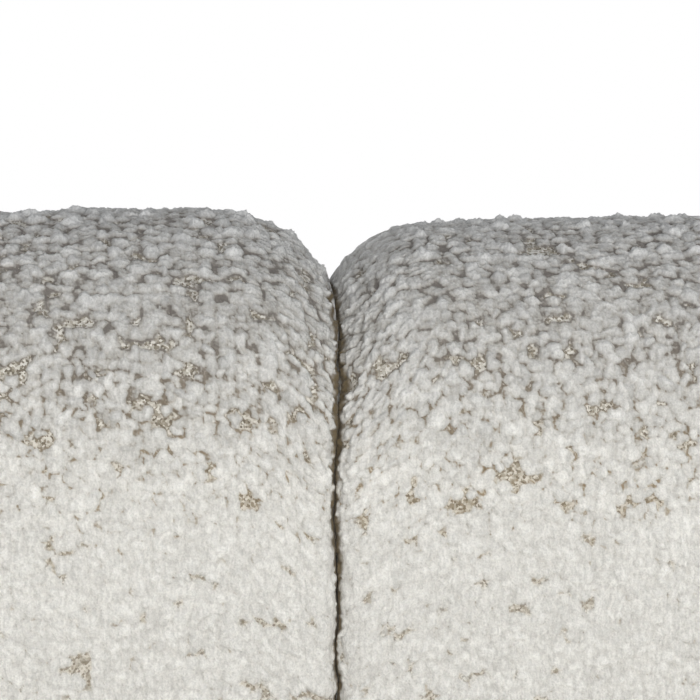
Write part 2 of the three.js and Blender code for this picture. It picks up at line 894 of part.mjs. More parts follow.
/** The black cloth under the seat base, with holes for the centre legs' bolts. */
function dustCover() {
  const cover = boxBetween(
    "dust_cover",
    blackCambric,
    [-baseHalfWidth, baseFront, legHeight],
    [baseHalfWidth, baseRear, legHeight + dustCoverThickness],
  );
  return carve(cover, ...hangerBores);
}

// Seat cushions

const cushionFront = frontLine + cushionFrontSetback;
const cushionRear = backFront - softGap;
const cushionHeight = cushionEdgeHeight + cushionCrown;

/** A cushion's form, drawn in all round by `shrink`. */
function cushionForm(shrink, steps) {
  return paddedForm({
    ...padDefaults,
    length: sectionWidth - 2 * shrink,
    thickness: cushionRear - cushionFront - 2 * shrink,
    height: cushionHeight - 2 * shrink,
    frontTopRadius: cushionCornerRadius - shrink,
    rearTopRadius: cushionCornerRadius - shrink,
    footRadius: cushionCornerRadius - shrink,
    edgeRadius: cushionEndRadius - shrink,
    shoulderRadius: cushionEndRadius - shrink,
    crown: { front: cushionFrontCrown, rear: 0, top: cushionCrown, foot: 0 },
    footFlat: false,
    topSteps: steps,
    baseSteps: steps,
  });
}

/** One loose cushion: a zipped cover, the foam core inside it and the zip in its rear wall. */
function seatCushion(side) {
  const cushion = new THREE.Group();
  const middle = (cushionFront + cushionRear) / 2;
  const foot = deckTop + softGap;
  cushion.position.set(side.sign * sectionAxis, middle, foot);
  const rearFace = cushionRear - middle;
  const zipHalf = (sectionWidth * zipLengthShare) / 2;
  const zipLevel = cushionEdgeHeight / 2;
  const zipSlot = boxBetween(
    "",
    undefined,
    [-zipHalf, rearFace - coverWall - cutOverrun, zipLevel - zipWidth / 2],
    [zipHalf, rearFace + cutOverrun, zipLevel + zipWidth / 2],
  );
  const hollow = cutter(cushionForm(coverWall, linerSteps), [0, 0, coverWall]);
  const cover = carve(
    piece(`cushion_cover_${side.name}`, cushionForm(0, cushionSteps), ivoryBoucle),
    hollow,
    zipSlot,
  );
  const coreShrink = coverWall + coreGap;
  const core = piece(
    `cushion_core_${side.name}`,
    cushionForm(coreShrink, linerSteps),
    seatFoam,
    [0, 0, coreShrink],
  );
  const tapeRear = rearFace - fitGap;
  const tape = boxBetween(
    `cushion_zip_${side.name}`,
    zipNylon,
    [-zipHalf + fitGap, tapeRear - zipTapeThickness, zipLevel - zipWidth / 2 + fitGap],
    [zipHalf - fitGap, tapeRear, zipLevel + zipWidth / 2 - fitGap],
  );
  const sliderEnd = zipHalf - zipSliderLength;
  const slider = boxBetween(
    "",
    undefined,
    [
      sliderEnd - zipSliderLength,
      tapeRear - zipTapeThickness - zipSliderDepth,
      zipLevel - zipSliderHeight / 2,
    ],
    [sliderEnd, tapeRear - zipTapeThickness / 2, zipLevel + zipSliderHeight / 2],
  );
  cushion.add(cover, core, join(tape, slider));
  return cushion;
}

// Assembly

const boltShape = boltGeometry(frameBoltShank);
const boltPieces = frameBolts.map(({ name, at, turn }) => piece(name, boltShape, zincSteel, at, turn));

const seatBase = new THREE.Group();
seatBase.add(...baseTimbers(), ...seatSprings(), seatDeck(), frontBorder(), dustCover(), ...boltPieces);

const arms = new THREE.Group();
const backSections = new THREE.Group();
const cushions = new THREE.Group();
for (const side of sides) {
  arms.add(armPad(side), armFrame(side, [...frameBoltBores, ...hangerBores]));
  backSections.add(backPad(side), backFrame(side, frameBoltBores));
  cushions.add(seatCushion(side));
}

const legs = new THREE.Group();
legs.add(...legPlaces.map(legUnit));

const sofa = new THREE.Group();
sofa.add(seatBase, arms, backSections, cushions, legs);

export default sofa;
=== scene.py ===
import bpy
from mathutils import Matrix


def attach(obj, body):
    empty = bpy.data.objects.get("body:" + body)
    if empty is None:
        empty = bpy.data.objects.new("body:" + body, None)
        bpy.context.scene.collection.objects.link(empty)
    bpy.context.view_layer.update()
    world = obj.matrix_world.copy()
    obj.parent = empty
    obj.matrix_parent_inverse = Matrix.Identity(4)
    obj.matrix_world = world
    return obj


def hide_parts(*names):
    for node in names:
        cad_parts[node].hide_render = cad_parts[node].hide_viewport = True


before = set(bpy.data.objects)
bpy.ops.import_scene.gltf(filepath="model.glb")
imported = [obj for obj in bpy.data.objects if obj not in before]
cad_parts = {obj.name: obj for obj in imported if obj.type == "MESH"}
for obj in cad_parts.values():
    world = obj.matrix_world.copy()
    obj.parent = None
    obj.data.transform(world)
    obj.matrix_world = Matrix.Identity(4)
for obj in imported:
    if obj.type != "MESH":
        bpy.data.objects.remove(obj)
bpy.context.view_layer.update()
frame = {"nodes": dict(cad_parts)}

# A two-seat tuxedo sofa in chunky looped boucle: arms and back at one height, the back in two fat sections
# that press against each other. Sizes are in millimetres until a mesh is made; the frame is in metres, with
# +Z up and the seat facing -Y.
import logging
import math
from collections.abc import Callable
from dataclasses import dataclass, field
from enum import Enum
from functools import partial

import bmesh
import bpy
import numpy as np

log = logging.getLogger("sofa")

MM = 0.001
QUARTER = math.pi / 2
FRONT_FACE = 5.0  # the place round a slice where its front face starts
FIELDS = ("loop", "tone", "bare", "fine", "seam", "open")
SEAM_WIDTH = 4.0
SEAM_SHADOW = 10.0

Wear = Callable[[np.ndarray, np.ndarray, np.ndarray], np.ndarray]


class Side(Enum):
    """Which half of the sofa a piece belongs to, by the sign of its X."""

    LEFT = -1
    RIGHT = 1

    @property
    def word(self) -> str:
        """The side's name as it stands in the frame's node and body names."""
        return self.name.lower()


class Body(Enum):
    """The frame's bodies."""

    SOFA = "sofa_body"
    LEFT_CUSHION = "seat_cushion_left"
    RIGHT_CUSHION = "seat_cushion_right"


# Numbers on a grid


def scatter(column: np.ndarray, row: np.ndarray, salt: int) -> np.ndarray:
    """A fixed pseudo-random number from 0 to 1 for each lattice cell.

    Formula: the two cell numbers and the salt are multiplied by large odd numbers and added, and the sum's
    high bits are folded onto its low ones twice.

    Args:
        column: whole cell numbers along one way.
        row: whole cell numbers along the other.
        salt: a number that sets one use apart from another.

    Returns:
        Numbers from 0 to 1, in the cells' own shape.
    """
    mask = 0xFFFFFFFF
    mixed = (column.astype(np.int64) * 374761393 + row.astype(np.int64) * 668265263 + salt * 362437) & mask
    mixed = ((mixed ^ (mixed >> 13)) * 1274126177) & mask
    mixed = ((mixed ^ (mixed >> 15)) * 1103515245) & mask
    return (mixed ^ (mixed >> 16)) / float(mask)


def smooth(low: float, high: float, value: np.ndarray) -> np.ndarray:
    """The smooth step 3x^2 - 2x^3, with x going from 0 at `low` to 1 at `high`."""
    share = np.clip((value - low) / (high - low), 0.0, 1.0)
    return share * share * (3.0 - 2.0 * share)


def soft_noise(x: np.ndarray, y: np.ndarray, salt: int) -> np.ndarray:
    """Value noise: random numbers at whole places, joined by smooth steps.

    Args:
        x: places along one way, in cells.
        y: places along the other.
        salt: sets one use apart from another.

    Returns:
        Numbers from 0 to 1.
    """
    column, row = np.floor(x), np.floor(y)
    across, up = smooth(0.0, 1.0, x - column), smooth(0.0, 1.0, y - row)
    corner = [scatter(column + i, row + j, salt) for i in (0, 1) for j in (0, 1)]
    near = corner[0] + (corner[1] - corner[0]) * up
    far = corner[2] + (corner[3] - corner[2]) * up
    return near + (far - near) * across


def walked(points: np.ndarray) -> np.ndarray:
    """The distance walked along a row of points, from its first one."""
    steps = np.linalg.norm(np.diff(points, axis=0), axis=1)
    return np.concatenate([[0.0], np.cumsum(steps)])


def spread(start: float, end: float, spacing: float, least: int = 1) -> np.ndarray:
    """Even places from `start` up to but without `end`, about `spacing` apart."""
    count = max(int(round(abs(end - start) / spacing)), least)
    return start + (end - start) * np.arange(count) / count


def finer(values: np.ndarray, first: int, last: int, split: int) -> np.ndarray:
    """The values from one place to another, with `split` even steps for each one between them."""
    steps = np.arange((last - first) * split + 1) / split + first
    return np.interp(steps, np.arange(len(values)), values)


# The cloth's relief


@dataclass(frozen=True)
class LoopPile:
    """Chunky boucle as it stands off the foam: soft clumps of looped yarn over a flat ground weave."""

    clump_across: float = 5.9
    clump_along: float = 5.6
    clump_height: float = 3.1
    wide_across: float = 8.4
    wide_along: float = 5.6
    filler_pitch: float = 3.2
    filler_share: float = 0.43
    lump_pitch: float = 2.2
    lump_height: float = 0.95
    fluff_pitch: float = 1.7
    fluff_height: float = 0.4
    jitter: float = 0.62
    tilt: float = 0.7
    slim: tuple[float, float] = (0.66, 0.3)
    stature: tuple[float, float] = (0.58, 0.42)
    steep: float = 0.85
    proud: float = 0.4
    proud_above: float = 0.93
    warp: float = 1.8
    warp_pitch: float = 3.9
    patch_across: float = 10.0
    patch_along: float = 7.5
    patch_share: float = 0.1

    def domes(
        self,
        s: np.ndarray,
        t: np.ndarray,
        pitch: tuple[float, float],
        reach: tuple[float, float],
        salt: int,
        patches: int | None = None,
    ) -> tuple[np.ndarray, np.ndarray, np.ndarray]:
        """One layer of jittered, tilted, oval domes, one to a cell.

        Formula: a dome's height is its own share times (1 - d^2)^0.85, with d the distance from its middle in
        its own half axes. One in fourteen stands proud of the rest. The layer is the highest of the nine
        nearest domes.

        Args:
            s: distance along the piece, in mm.
            t: distance round the piece, in mm.
            pitch: size of a cell along and round the piece.
            reach: least and greatest half axis, in cells.
            salt: sets one layer apart from another.
            patches: the salt of the bare patches where domes are missing, if they are.

        Returns:
            The layer's height from 0 to about 1, the tone of the dome that stands highest, and how much
            height the missing domes have taken away.
        """
        column = np.floor(s / pitch[0])
        height, whole = np.zeros_like(s), np.zeros_like(s)
        tone = np.full_like(s, 0.5)
        for i in (-1, 0, 1):
            here = column + i
            drift = scatter(here, here * 0, salt + 1)
            row = np.floor(t / pitch[1] + drift)
            for j in (-1, 0, 1):
                there = row + j
                rolls = [scatter(here, there, salt + 2 + k) for k in range(6)]
                ds = s / pitch[0] - (here + 0.5 + self.jitter * (rolls[0] - 0.5))
                dt = t / pitch[1] + drift - (there + 0.5 + self.jitter * (rolls[1] - 0.5))
                angle = math.pi * (0.5 + self.tilt * (rolls[2] - 0.5))
                cosine, sine = np.cos(angle), np.sin(angle)
                long_half = reach[0] + (reach[1] - reach[0]) * rolls[3]
                short_half = long_half * (self.slim[0] + self.slim[1] * rolls[4])
                away = ((ds * cosine + dt * sine) / long_half) ** 2
                away += ((dt * cosine - ds * sine) / short_half) ** 2
                own = self.stature[0] + self.stature[1] * rolls[5] + self.proud * (rolls[5] > self.proud_above)
                dome = own * np.maximum(1.0 - away, 0.0) ** self.steep
                whole = np.maximum(whole, dome)
                if patches is not None:
                    middle = ((here + 0.5) * pitch[0], (there + 0.5 - drift) * pitch[1])
                    dome = dome * self.kept(*middle, patches)
                higher = dome > height
                tone = np.where(higher, rolls[4] * 0.5 + rolls[0] * 0.5, tone)
                height = np.where(higher, dome, height)
        return height, tone, whole - height

    def kept(self, s: np.ndarray, t: np.ndarray, salt: int) -> np.ndarray:
        """How far the cloth has kept its clumps: 0 where a soft noise stands highest, 1 elsewhere.

        Args:
            s: distance along the piece, in mm.
            t: distance round the piece, in mm.
            salt: sets one piece apart from another.

        Returns:
            Numbers from 0 to 1.
        """
        broad = soft_noise(s / self.patch_across, t / self.patch_along, salt)
        limit = 0.5 + 0.5 * (1.0 - 2.0 * self.patch_share) ** 2.2
        return smooth(limit + 0.01, limit - 0.01, broad)

    def stand(
        self, s: np.ndarray, t: np.ndarray, pressed: np.ndarray, salt: int
    ) -> tuple[np.ndarray, np.ndarray, np.ndarray]:
        """The height of the pile over the foam, in mm.

        Formula: the place is bent by two soft noises, the clumps' layer is taken there, and the layers of
        lumps and fluff are added in proportion to it. Where the cloth is pressed, a second layer of wider and
        lower clumps takes the first one's place.

        Args:
            s: distance along the piece, in mm.
            t: distance round the piece, in mm.
            pressed: how far the clumps are pressed wide, from 0 to 1.
            salt: sets one piece apart from another.

        Returns:
            Height in mm, tone from 0 to 1, and bareness from 0 to 1.
        """
        cell = (s / self.warp_pitch, t / self.warp_pitch)
        bent = [
            way + self.warp * (2.0 * soft_noise(*cell, salt + number) - 1.0) for way, number in ((s, 11), (t, 12))
        ]
        patches = salt + 521
        small, wide, fill = (
            self.domes(*bent, pitch, reach, salt + number, patches)
            for pitch, reach, number in (
                ((self.clump_across, self.clump_along), (0.62, 0.98), 20),
                ((self.wide_across, self.wide_along), (0.72, 1.02), 30),
                ((self.filler_pitch, self.filler_pitch), (0.62, 0.92), 35),
            )
        )
        clump, tone, missing = (near + (far - near) * pressed for near, far in zip(small, wide))
        filler, filler_tone, _ = fill
        tone = np.where(self.filler_share * filler > clump, filler_tone, tone)
        clump = np.maximum(clump, self.filler_share * filler)
        lump, _, _ = self.domes(s, t, (self.lump_pitch, self.lump_pitch), (0.5, 0.8), salt + 40)
        fluff = soft_noise(s / self.fluff_pitch, t / self.fluff_pitch, salt + 60) - 0.5
        full = self.clump_height * clump + (self.lump_height * lump + self.fluff_height * fluff) * (
            0.3 + 0.7 * clump
        )
        bare = smooth(0.1, 0.35, missing) * (1.0 - smooth(0.1, 0.36, clump))
        bare = np.maximum(bare, 0.8 * (1.0 - smooth(0.0, 0.08, clump)))
        return full, tone, bare


def drawn_by_seam(away: np.ndarray) -> np.ndarray:
    """How far cloth is drawn in at distance d from a seam, as a share of the seam's depth: exp(-(d / 4)^2)."""
    return np.exp(-((away / SEAM_WIDTH) ** 2))


def shade_by_seam(away: np.ndarray) -> np.ndarray:
    """How dark a seam's shade lies at a distance from it: 1 on the seam, and 0 from 10 mm on."""
    return np.clip(1.0 - away / SEAM_SHADOW, 0.0, 1.0)


# Padded forms


@dataclass(frozen=True)
class EndRound:
    """How one end of a padded form closes: a tight round at the faces, a wider one at the top."""

    edge_radius: float
    shoulder_radius: float
    edge_sweep: float = 90.0
    shoulder_sweep: float = 90.0
    dome: float = 0.0
    top_fall: float = 0.0

    @staticmethod
    def drawn_in(radius: float, sweep: float, distance: np.ndarray) -> np.ndarray:
        """How far a round has drawn in: r - sqrt(r^2 - (r sin a - d)^2), with d from the end and a the sweep.

        Args:
            radius: the round's radius r, in mm.
            sweep: the angle a through which it turns, in degrees.
            distance: how far each place lies from the end.

        Returns:
            The way in, in mm.
        """
        run = radius * math.sin(math.radians(sweep))
        left = np.clip(run - np.maximum(distance, 0.0), 0.0, None)
        return radius - np.sqrt(np.maximum(radius**2 - left**2, 0.0))

    def places(self, spacing: float) -> np.ndarray:
        """Distances from the end at which slices stand, closer together on the tight round.

        Args:
            spacing: distance between slices, in mm.

        Returns:
            The distances, in rising order.
        """
        turn = math.radians(self.edge_sweep)
        count = max(int(round(self.edge_radius * turn / spacing)), 3)
        angles = turn * (1.0 - np.arange(count + 1) / count)
        tight = self.edge_radius * (math.sin(turn) - np.sin(angles))
        wide_run = self.shoulder_radius * math.sin(math.radians(self.shoulder_sweep))
        if wide_run <= tight[-1]:
            return tight
        return np.concatenate([tight, tight[-1] + spread(wide_run - tight[-1], 0.0, spacing)[::-1]])


@dataclass(frozen=True)
class PaddedForm:
    """A padded form lofted along X: rounded rectangles that bow out towards the middle and draw in at the ends."""

    length: float
    thickness: float
    height: float
    front_top_radius: float
    rear_top_radius: float
    foot_radius: float
    low_end: EndRound
    high_end: EndRound
    front_crown: float = 0.0
    rear_crown: float = 0.0
    top_crown: float = 0.0
    foot_crown: float = 0.0
    foot_flat: bool = True
    knots: float = 0.0
    least_round: float = 1.5

    def stations(self, spacing: float) -> np.ndarray:
        """Places along the form where its slices stand.

        Args:
            spacing: distance between slices, in mm.

        Returns:
            Rows of (place along, share by which the slice has closed onto its own middle line).
        """
        half = self.length / 2
        low = -half + self.low_end.dome + self.low_end.places(spacing)
        high = half - self.high_end.dome - self.high_end.places(spacing)[::-1]
        body = np.concatenate([low, spread(low[-1], high[0], spacing, 2)[1:], high])
        reach = min(self.thickness, self.height) / 2 - min(self.low_end.edge_radius, self.thickness / 4)
        closing = 1.0 - spread(0.0, 1.0, spacing / max(reach, spacing), 3)
        before = -half + self.low_end.dome * (1.0 - closing) ** 2
        after = half - self.high_end.dome * (1.0 - closing[::-1]) ** 2
        along = np.concatenate([before, body, after])
        shares = np.concatenate([closing, np.zeros(len(body)), closing[::-1]])
        return np.stack([along, shares], axis=1)

    def ring(self, spacing: float) -> np.ndarray:
        """Places round a slice, from 0 to 8: even numbers start the four rounds, odd ones the four faces.

        Args:
            spacing: distance between places, in mm.

        Returns:
            The places, in rising order.
        """
        wide = self.thickness - self.front_top_radius - self.rear_top_radius
        tall = self.height - self.foot_radius
        lengths = [
            QUARTER * self.foot_radius,
            tall - self.rear_top_radius,
            QUARTER * self.rear_top_radius,
            max(wide, 1.0),
            QUARTER * self.front_top_radius,
            tall - self.front_top_radius,
            QUARTER * self.foot_radius,
            self.thickness - 2 * self.foot_radius,
        ]
        return np.concatenate(
            [spread(number, number + 1, spacing / length, 2) for number, length in enumerate(lengths)]
        )

    def surface(self, stations: np.ndarray, ring: np.ndarray) -> np.ndarray:
        """The form's surface.

        Formula: each slice is a rounded rectangle. Its faces are drawn in by the ends' tight rounds and its
        top sinks by their wide ones and by the fall, which grows with the square of the way to the end. A
        face stands out by its crown times 1 - x^2 along it and 1 - y^2 along the form. Beyond the ends, each
        point of the slice moves straight onto the slice's own middle line, and there onto even knots where the
        slice's two sides aren't alike, so that they meet point to point.

        Args:
            stations: rows of (place along, closing share).
            ring: places round the slice, from 0 to 8.

        Returns:
            An array (stations, ring, 3) in mm, with the form's foot at 0 and its middle at the origin.
        """
        along, closing = stations[:, 0, None], stations[:, 1, None]
        half = self.length / 2
        from_low = along + half - self.low_end.dome
        from_high = half - self.high_end.dome - along
        reach = along / half
        fall = np.where(along < 0, self.low_end.top_fall, self.high_end.top_fall) * reach**2
        face_in = np.zeros_like(along)
        top_in = fall
        for end, distance in ((self.low_end, from_low), (self.high_end, from_high)):
            face_in = face_in + end.drawn_in(end.edge_radius, end.edge_sweep, distance)
            top_in = top_in + end.drawn_in(end.shoulder_radius, end.shoulder_sweep, distance)
        front = -self.thickness / 2 + self.front_crown + face_in
        rear = self.thickness / 2 - self.rear_crown - face_in
        top = self.height - self.top_crown - top_in
        foot = self.foot_crown + (0.0 if self.foot_flat else 1.0) * top_in
        middle, level = (front + rear) / 2, (top + foot) / 2
        limit = np.minimum(rear - middle, top - level)

        def round_of(radius: float, inset: np.ndarray) -> np.ndarray:
            """A round's radius in each slice, as far as the slice has room for it."""
            return np.clip(radius - inset, self.least_round, np.maximum(limit, self.least_round))

        lower = round_of(self.foot_radius, face_in * (not self.foot_flat))
        rear_round = round_of(self.rear_top_radius, face_in)
        front_round = round_of(self.front_top_radius, face_in)
        rounds = [
            (rear - lower, foot + lower, lower),
            (rear - rear_round, top - rear_round, rear_round),
            (front + front_round, top - front_round, front_round),
            (front + lower, foot + lower, lower),
        ]
        crowns = (self.rear_crown, self.top_crown, self.front_crown, self.foot_crown)
        outward = ((1, 0), (0, 1), (-1, 0), (0, -1))
        bow = 1.0 - reach**2
        number = np.floor(ring).astype(int) % 8
        share = (ring - np.floor(ring))[None, :]
        across = np.zeros((len(stations), len(ring)))
        up = np.zeros_like(across)
        for index, (middle_across, middle_up, radius) in enumerate(rounds):
            here = number == 2 * index
            angle = QUARTER * (index - 1 + share[:, here])
            across[:, here] = middle_across + radius * np.cos(angle)
            up[:, here] = middle_up + radius * np.sin(angle)
            here = number == 2 * index + 1
            next_across, next_up, next_radius = rounds[(index + 1) % 4]
            turn = QUARTER * index
            start = (middle_across + radius * math.cos(turn), middle_up + radius * math.sin(turn))
            stop = (next_across + next_radius * math.cos(turn), next_up + next_radius * math.sin(turn))
            lift = crowns[index] * bow * (1.0 - (2.0 * share[:, here] - 1.0) ** 2)
            across[:, here] = start[0] + (stop[0] - start[0]) * share[:, here] + lift * outward[index][0]
            up[:, here] = start[1] + (stop[1] - start[1]) * share[:, here] + lift * outward[index][1]
        spare = (top - foot) / 2 - (rear - front) / 2
        line_across = np.clip(across, middle - np.maximum(-spare, 0.0), middle + np.maximum(-spare, 0.0))
        line_up = np.clip(up, level - np.maximum(spare, 0.0), level + np.maximum(spare, 0.0))
        if self.knots:
            line = np.maximum(np.abs(spare), 1.0)
            count = np.maximum(np.round(line / self.knots), 1.0)
            line_across = middle + np.round((line_across - middle) / line * count) / count * line
            line_up = level + np.round((line_up - level) / line * count) / count * line
        across = across + (line_across - across) * closing
        up = up + (line_up - up) * closing
        return np.stack([np.broadcast_to(along, across.shape), across, up], axis=2)


# Meshes


def outward_normals(points: np.ndarray, wraps: bool) -> np.ndarray:
    """Unit normals of a grid of points: the step round the slice crossed with the step along the form.

    Args:
        points: an array (stations, ring, 3).
        wraps: whether the ring's last point stands beside its first.

    Returns:
        Unit vectors in the same shape.
    """
    along = np.gradient(points, axis=0)
    if wraps:
        around = (np.roll(points, -1, axis=1) - np.roll(points, 1, axis=1)) / 2
    else:
        around = np.gradient(points, axis=1)
    normal = np.cross(around, along)
    size = np.linalg.norm(normal, axis=2, keepdims=True)
    return normal / np.maximum(size, 1e-9)


@dataclass
class Mesh:
    """Points in mm, polygons as arrays of one width each, and numbers kept at the points."""

    points: np.ndarray
    polygons: list[np.ndarray]
    fields: dict[str, np.ndarray] = field(default_factory=dict)
    weld: np.ndarray | None = None

    def joined(self, other: "Mesh") -> "Mesh":
        """This mesh and another as one, with only the fields that this one has.

        Args:
            other: the mesh to add.

        Returns:
            A new mesh.
        """
        shift = len(self.points)
        return Mesh(
            np.concatenate([self.points, other.points]),
            self.polygons + [polygon + shift for polygon in other.polygons],
            {
                name: np.concatenate([values, other.fields.get(name, np.zeros(len(other.points)))])
                for name, values in self.fields.items()
            },
        )

    def placed(self, place: tuple[float, float, float], quarter_turn: bool = False) -> "Mesh":
        """The mesh moved, and first turned a quarter about Z where asked.

        Args:
            place: the move, in mm.
            quarter_turn: whether its length is to lie along Y.

        Returns:
            A new mesh.
        """
        points = self.points
        if quarter_turn:
            points = np.stack([-points[:, 1], points[:, 0], points[:, 2]], axis=1)
        return Mesh(points + np.array(place), self.polygons, self.fields, self.weld)

    def to_object(self, name: str, *materials: bpy.types.Material) -> bpy.types.Object:
        """Makes the object, in metres, with its place in its mesh.

        Args:
            name: the piece's name.
            materials: what its slots hold.

        Returns:
            The new object, linked to the scene.
        """
        flat = np.concatenate([polygon.ravel() for polygon in self.polygons])
        widths = np.concatenate([np.full(len(polygon), polygon.shape[1]) for polygon in self.polygons])
        used, flat = np.unique(flat, return_inverse=True)
        mesh = bpy.data.meshes.new(name)
        mesh.vertices.add(len(used))
        mesh.vertices.foreach_set("co", (self.points[used] * MM).astype(np.float32).ravel())
        mesh.loops.add(len(flat))
        mesh.loops.foreach_set("vertex_index", flat.astype(np.int32).ravel())
        mesh.polygons.add(len(widths))
        starts = np.concatenate([[0], np.cumsum(widths)[:-1]])
        mesh.polygons.foreach_set("loop_start", starts.astype(np.int32))
        mesh.update(calc_edges=True)
        for key, values in self.fields.items():
            attribute = mesh.attributes.new(key, "FLOAT", "POINT")
            attribute.data.foreach_set("value", values[used].astype(np.float32))
        if self.weld is not None:
            ends = np.flatnonzero(np.isin(used, self.weld))
            shape = bmesh.new()
            shape.from_mesh(mesh)
            shape.verts.ensure_lookup_table()
            bmesh.ops.remove_doubles(shape, verts=[shape.verts[i] for i in ends], dist=2e-5)
            shape.to_mesh(mesh)
            shape.free()
        mesh.polygons.foreach_set("use_smooth", np.ones(len(mesh.polygons), bool))
        for material in materials:
            mesh.materials.append(material)
        piece = bpy.data.objects.new(name, mesh)
        bpy.context.scene.collection.objects.link(piece)
        return piece


def grid_cells(ids: np.ndarray, wraps: bool) -> np.ndarray:
    """The four-sided cells between neighbouring points of a grid, facing out.

    Args:
        ids: point numbers, (stations, ring).
        wraps: whether the ring closes on itself.

    Returns:
        An array (cells, 4).
    """
    beside = np.roll(ids, -1, axis=1) if wraps else ids[:, 1:]
    here = ids if wraps else ids[:, :-1]
    return np.stack([here[:-1], beside[:-1], beside[1:], here[1:]], axis=-1).reshape(-1, 4)


def numbered(points: np.ndarray) -> np.ndarray:
    """The numbers of a grid's points, in the grid's own shape."""
    return np.arange(points[..., 0].size).reshape(points.shape[:-1])


def shell(points: np.ndarray, turned: bool = False) -> Mesh:
    """One or more tubes, each with a face over either end.

    Args:
        points: an array (slices, ring, 3), or (tubes, slices, ring, 3).
        turned: whether the faces have to be turned round to face out.

    Returns:
        The mesh.
    """
    ids = numbered(points).reshape(-1, *points.shape[-3:-1])
    beside = np.roll(ids, -1, axis=2)
    cells = np.stack([ids[:, :-1], beside[:, :-1], beside[:, 1:], ids[:, 1:]], axis=-1)
    polygons = [cells.reshape(-1, 4), ids[:, 0, ::-1], ids[:, -1]]
    return Mesh(points.reshape(-1, 3), [part[:, ::-1] for part in polygons] if turned else polygons)


def faced_out(piece: bpy.types.Object) -> bpy.types.Object:
    """Turns every face of a piece outwards.

    Args:
        piece: closed shells.

    Returns:
        The piece.
    """
    shape = bmesh.new()
    shape.from_mesh(piece.data)
    bmesh.ops.recalc_face_normals(shape, faces=shape.faces)
    shape.to_mesh(piece.data)
    shape.free()
    return piece


@dataclass(frozen=True)
class Window:
    """A part of a form whose cells are split finer, so that the pile stands there as real loops.

    The pairs after `fade` are heights over the form's foot, in mm, from which and to which the pile or the
    foam under it changes.
    """

    along: tuple[float, float]
    ring: tuple[float, float]
    split: int
    fade: float = 38.0
    pressed: tuple[float, float] = (545.0, 612.0)
    lofted: tuple[float, float] = (430.0, 610.0)
    toned: tuple[float, float] = (440.0, 560.0)
    swollen: tuple[float, float] = (575.0, 470.0)
    sunk: tuple[float, float] = (570.0, 600.0)
    shaded: tuple[float, float] = (612.0, 585.0)


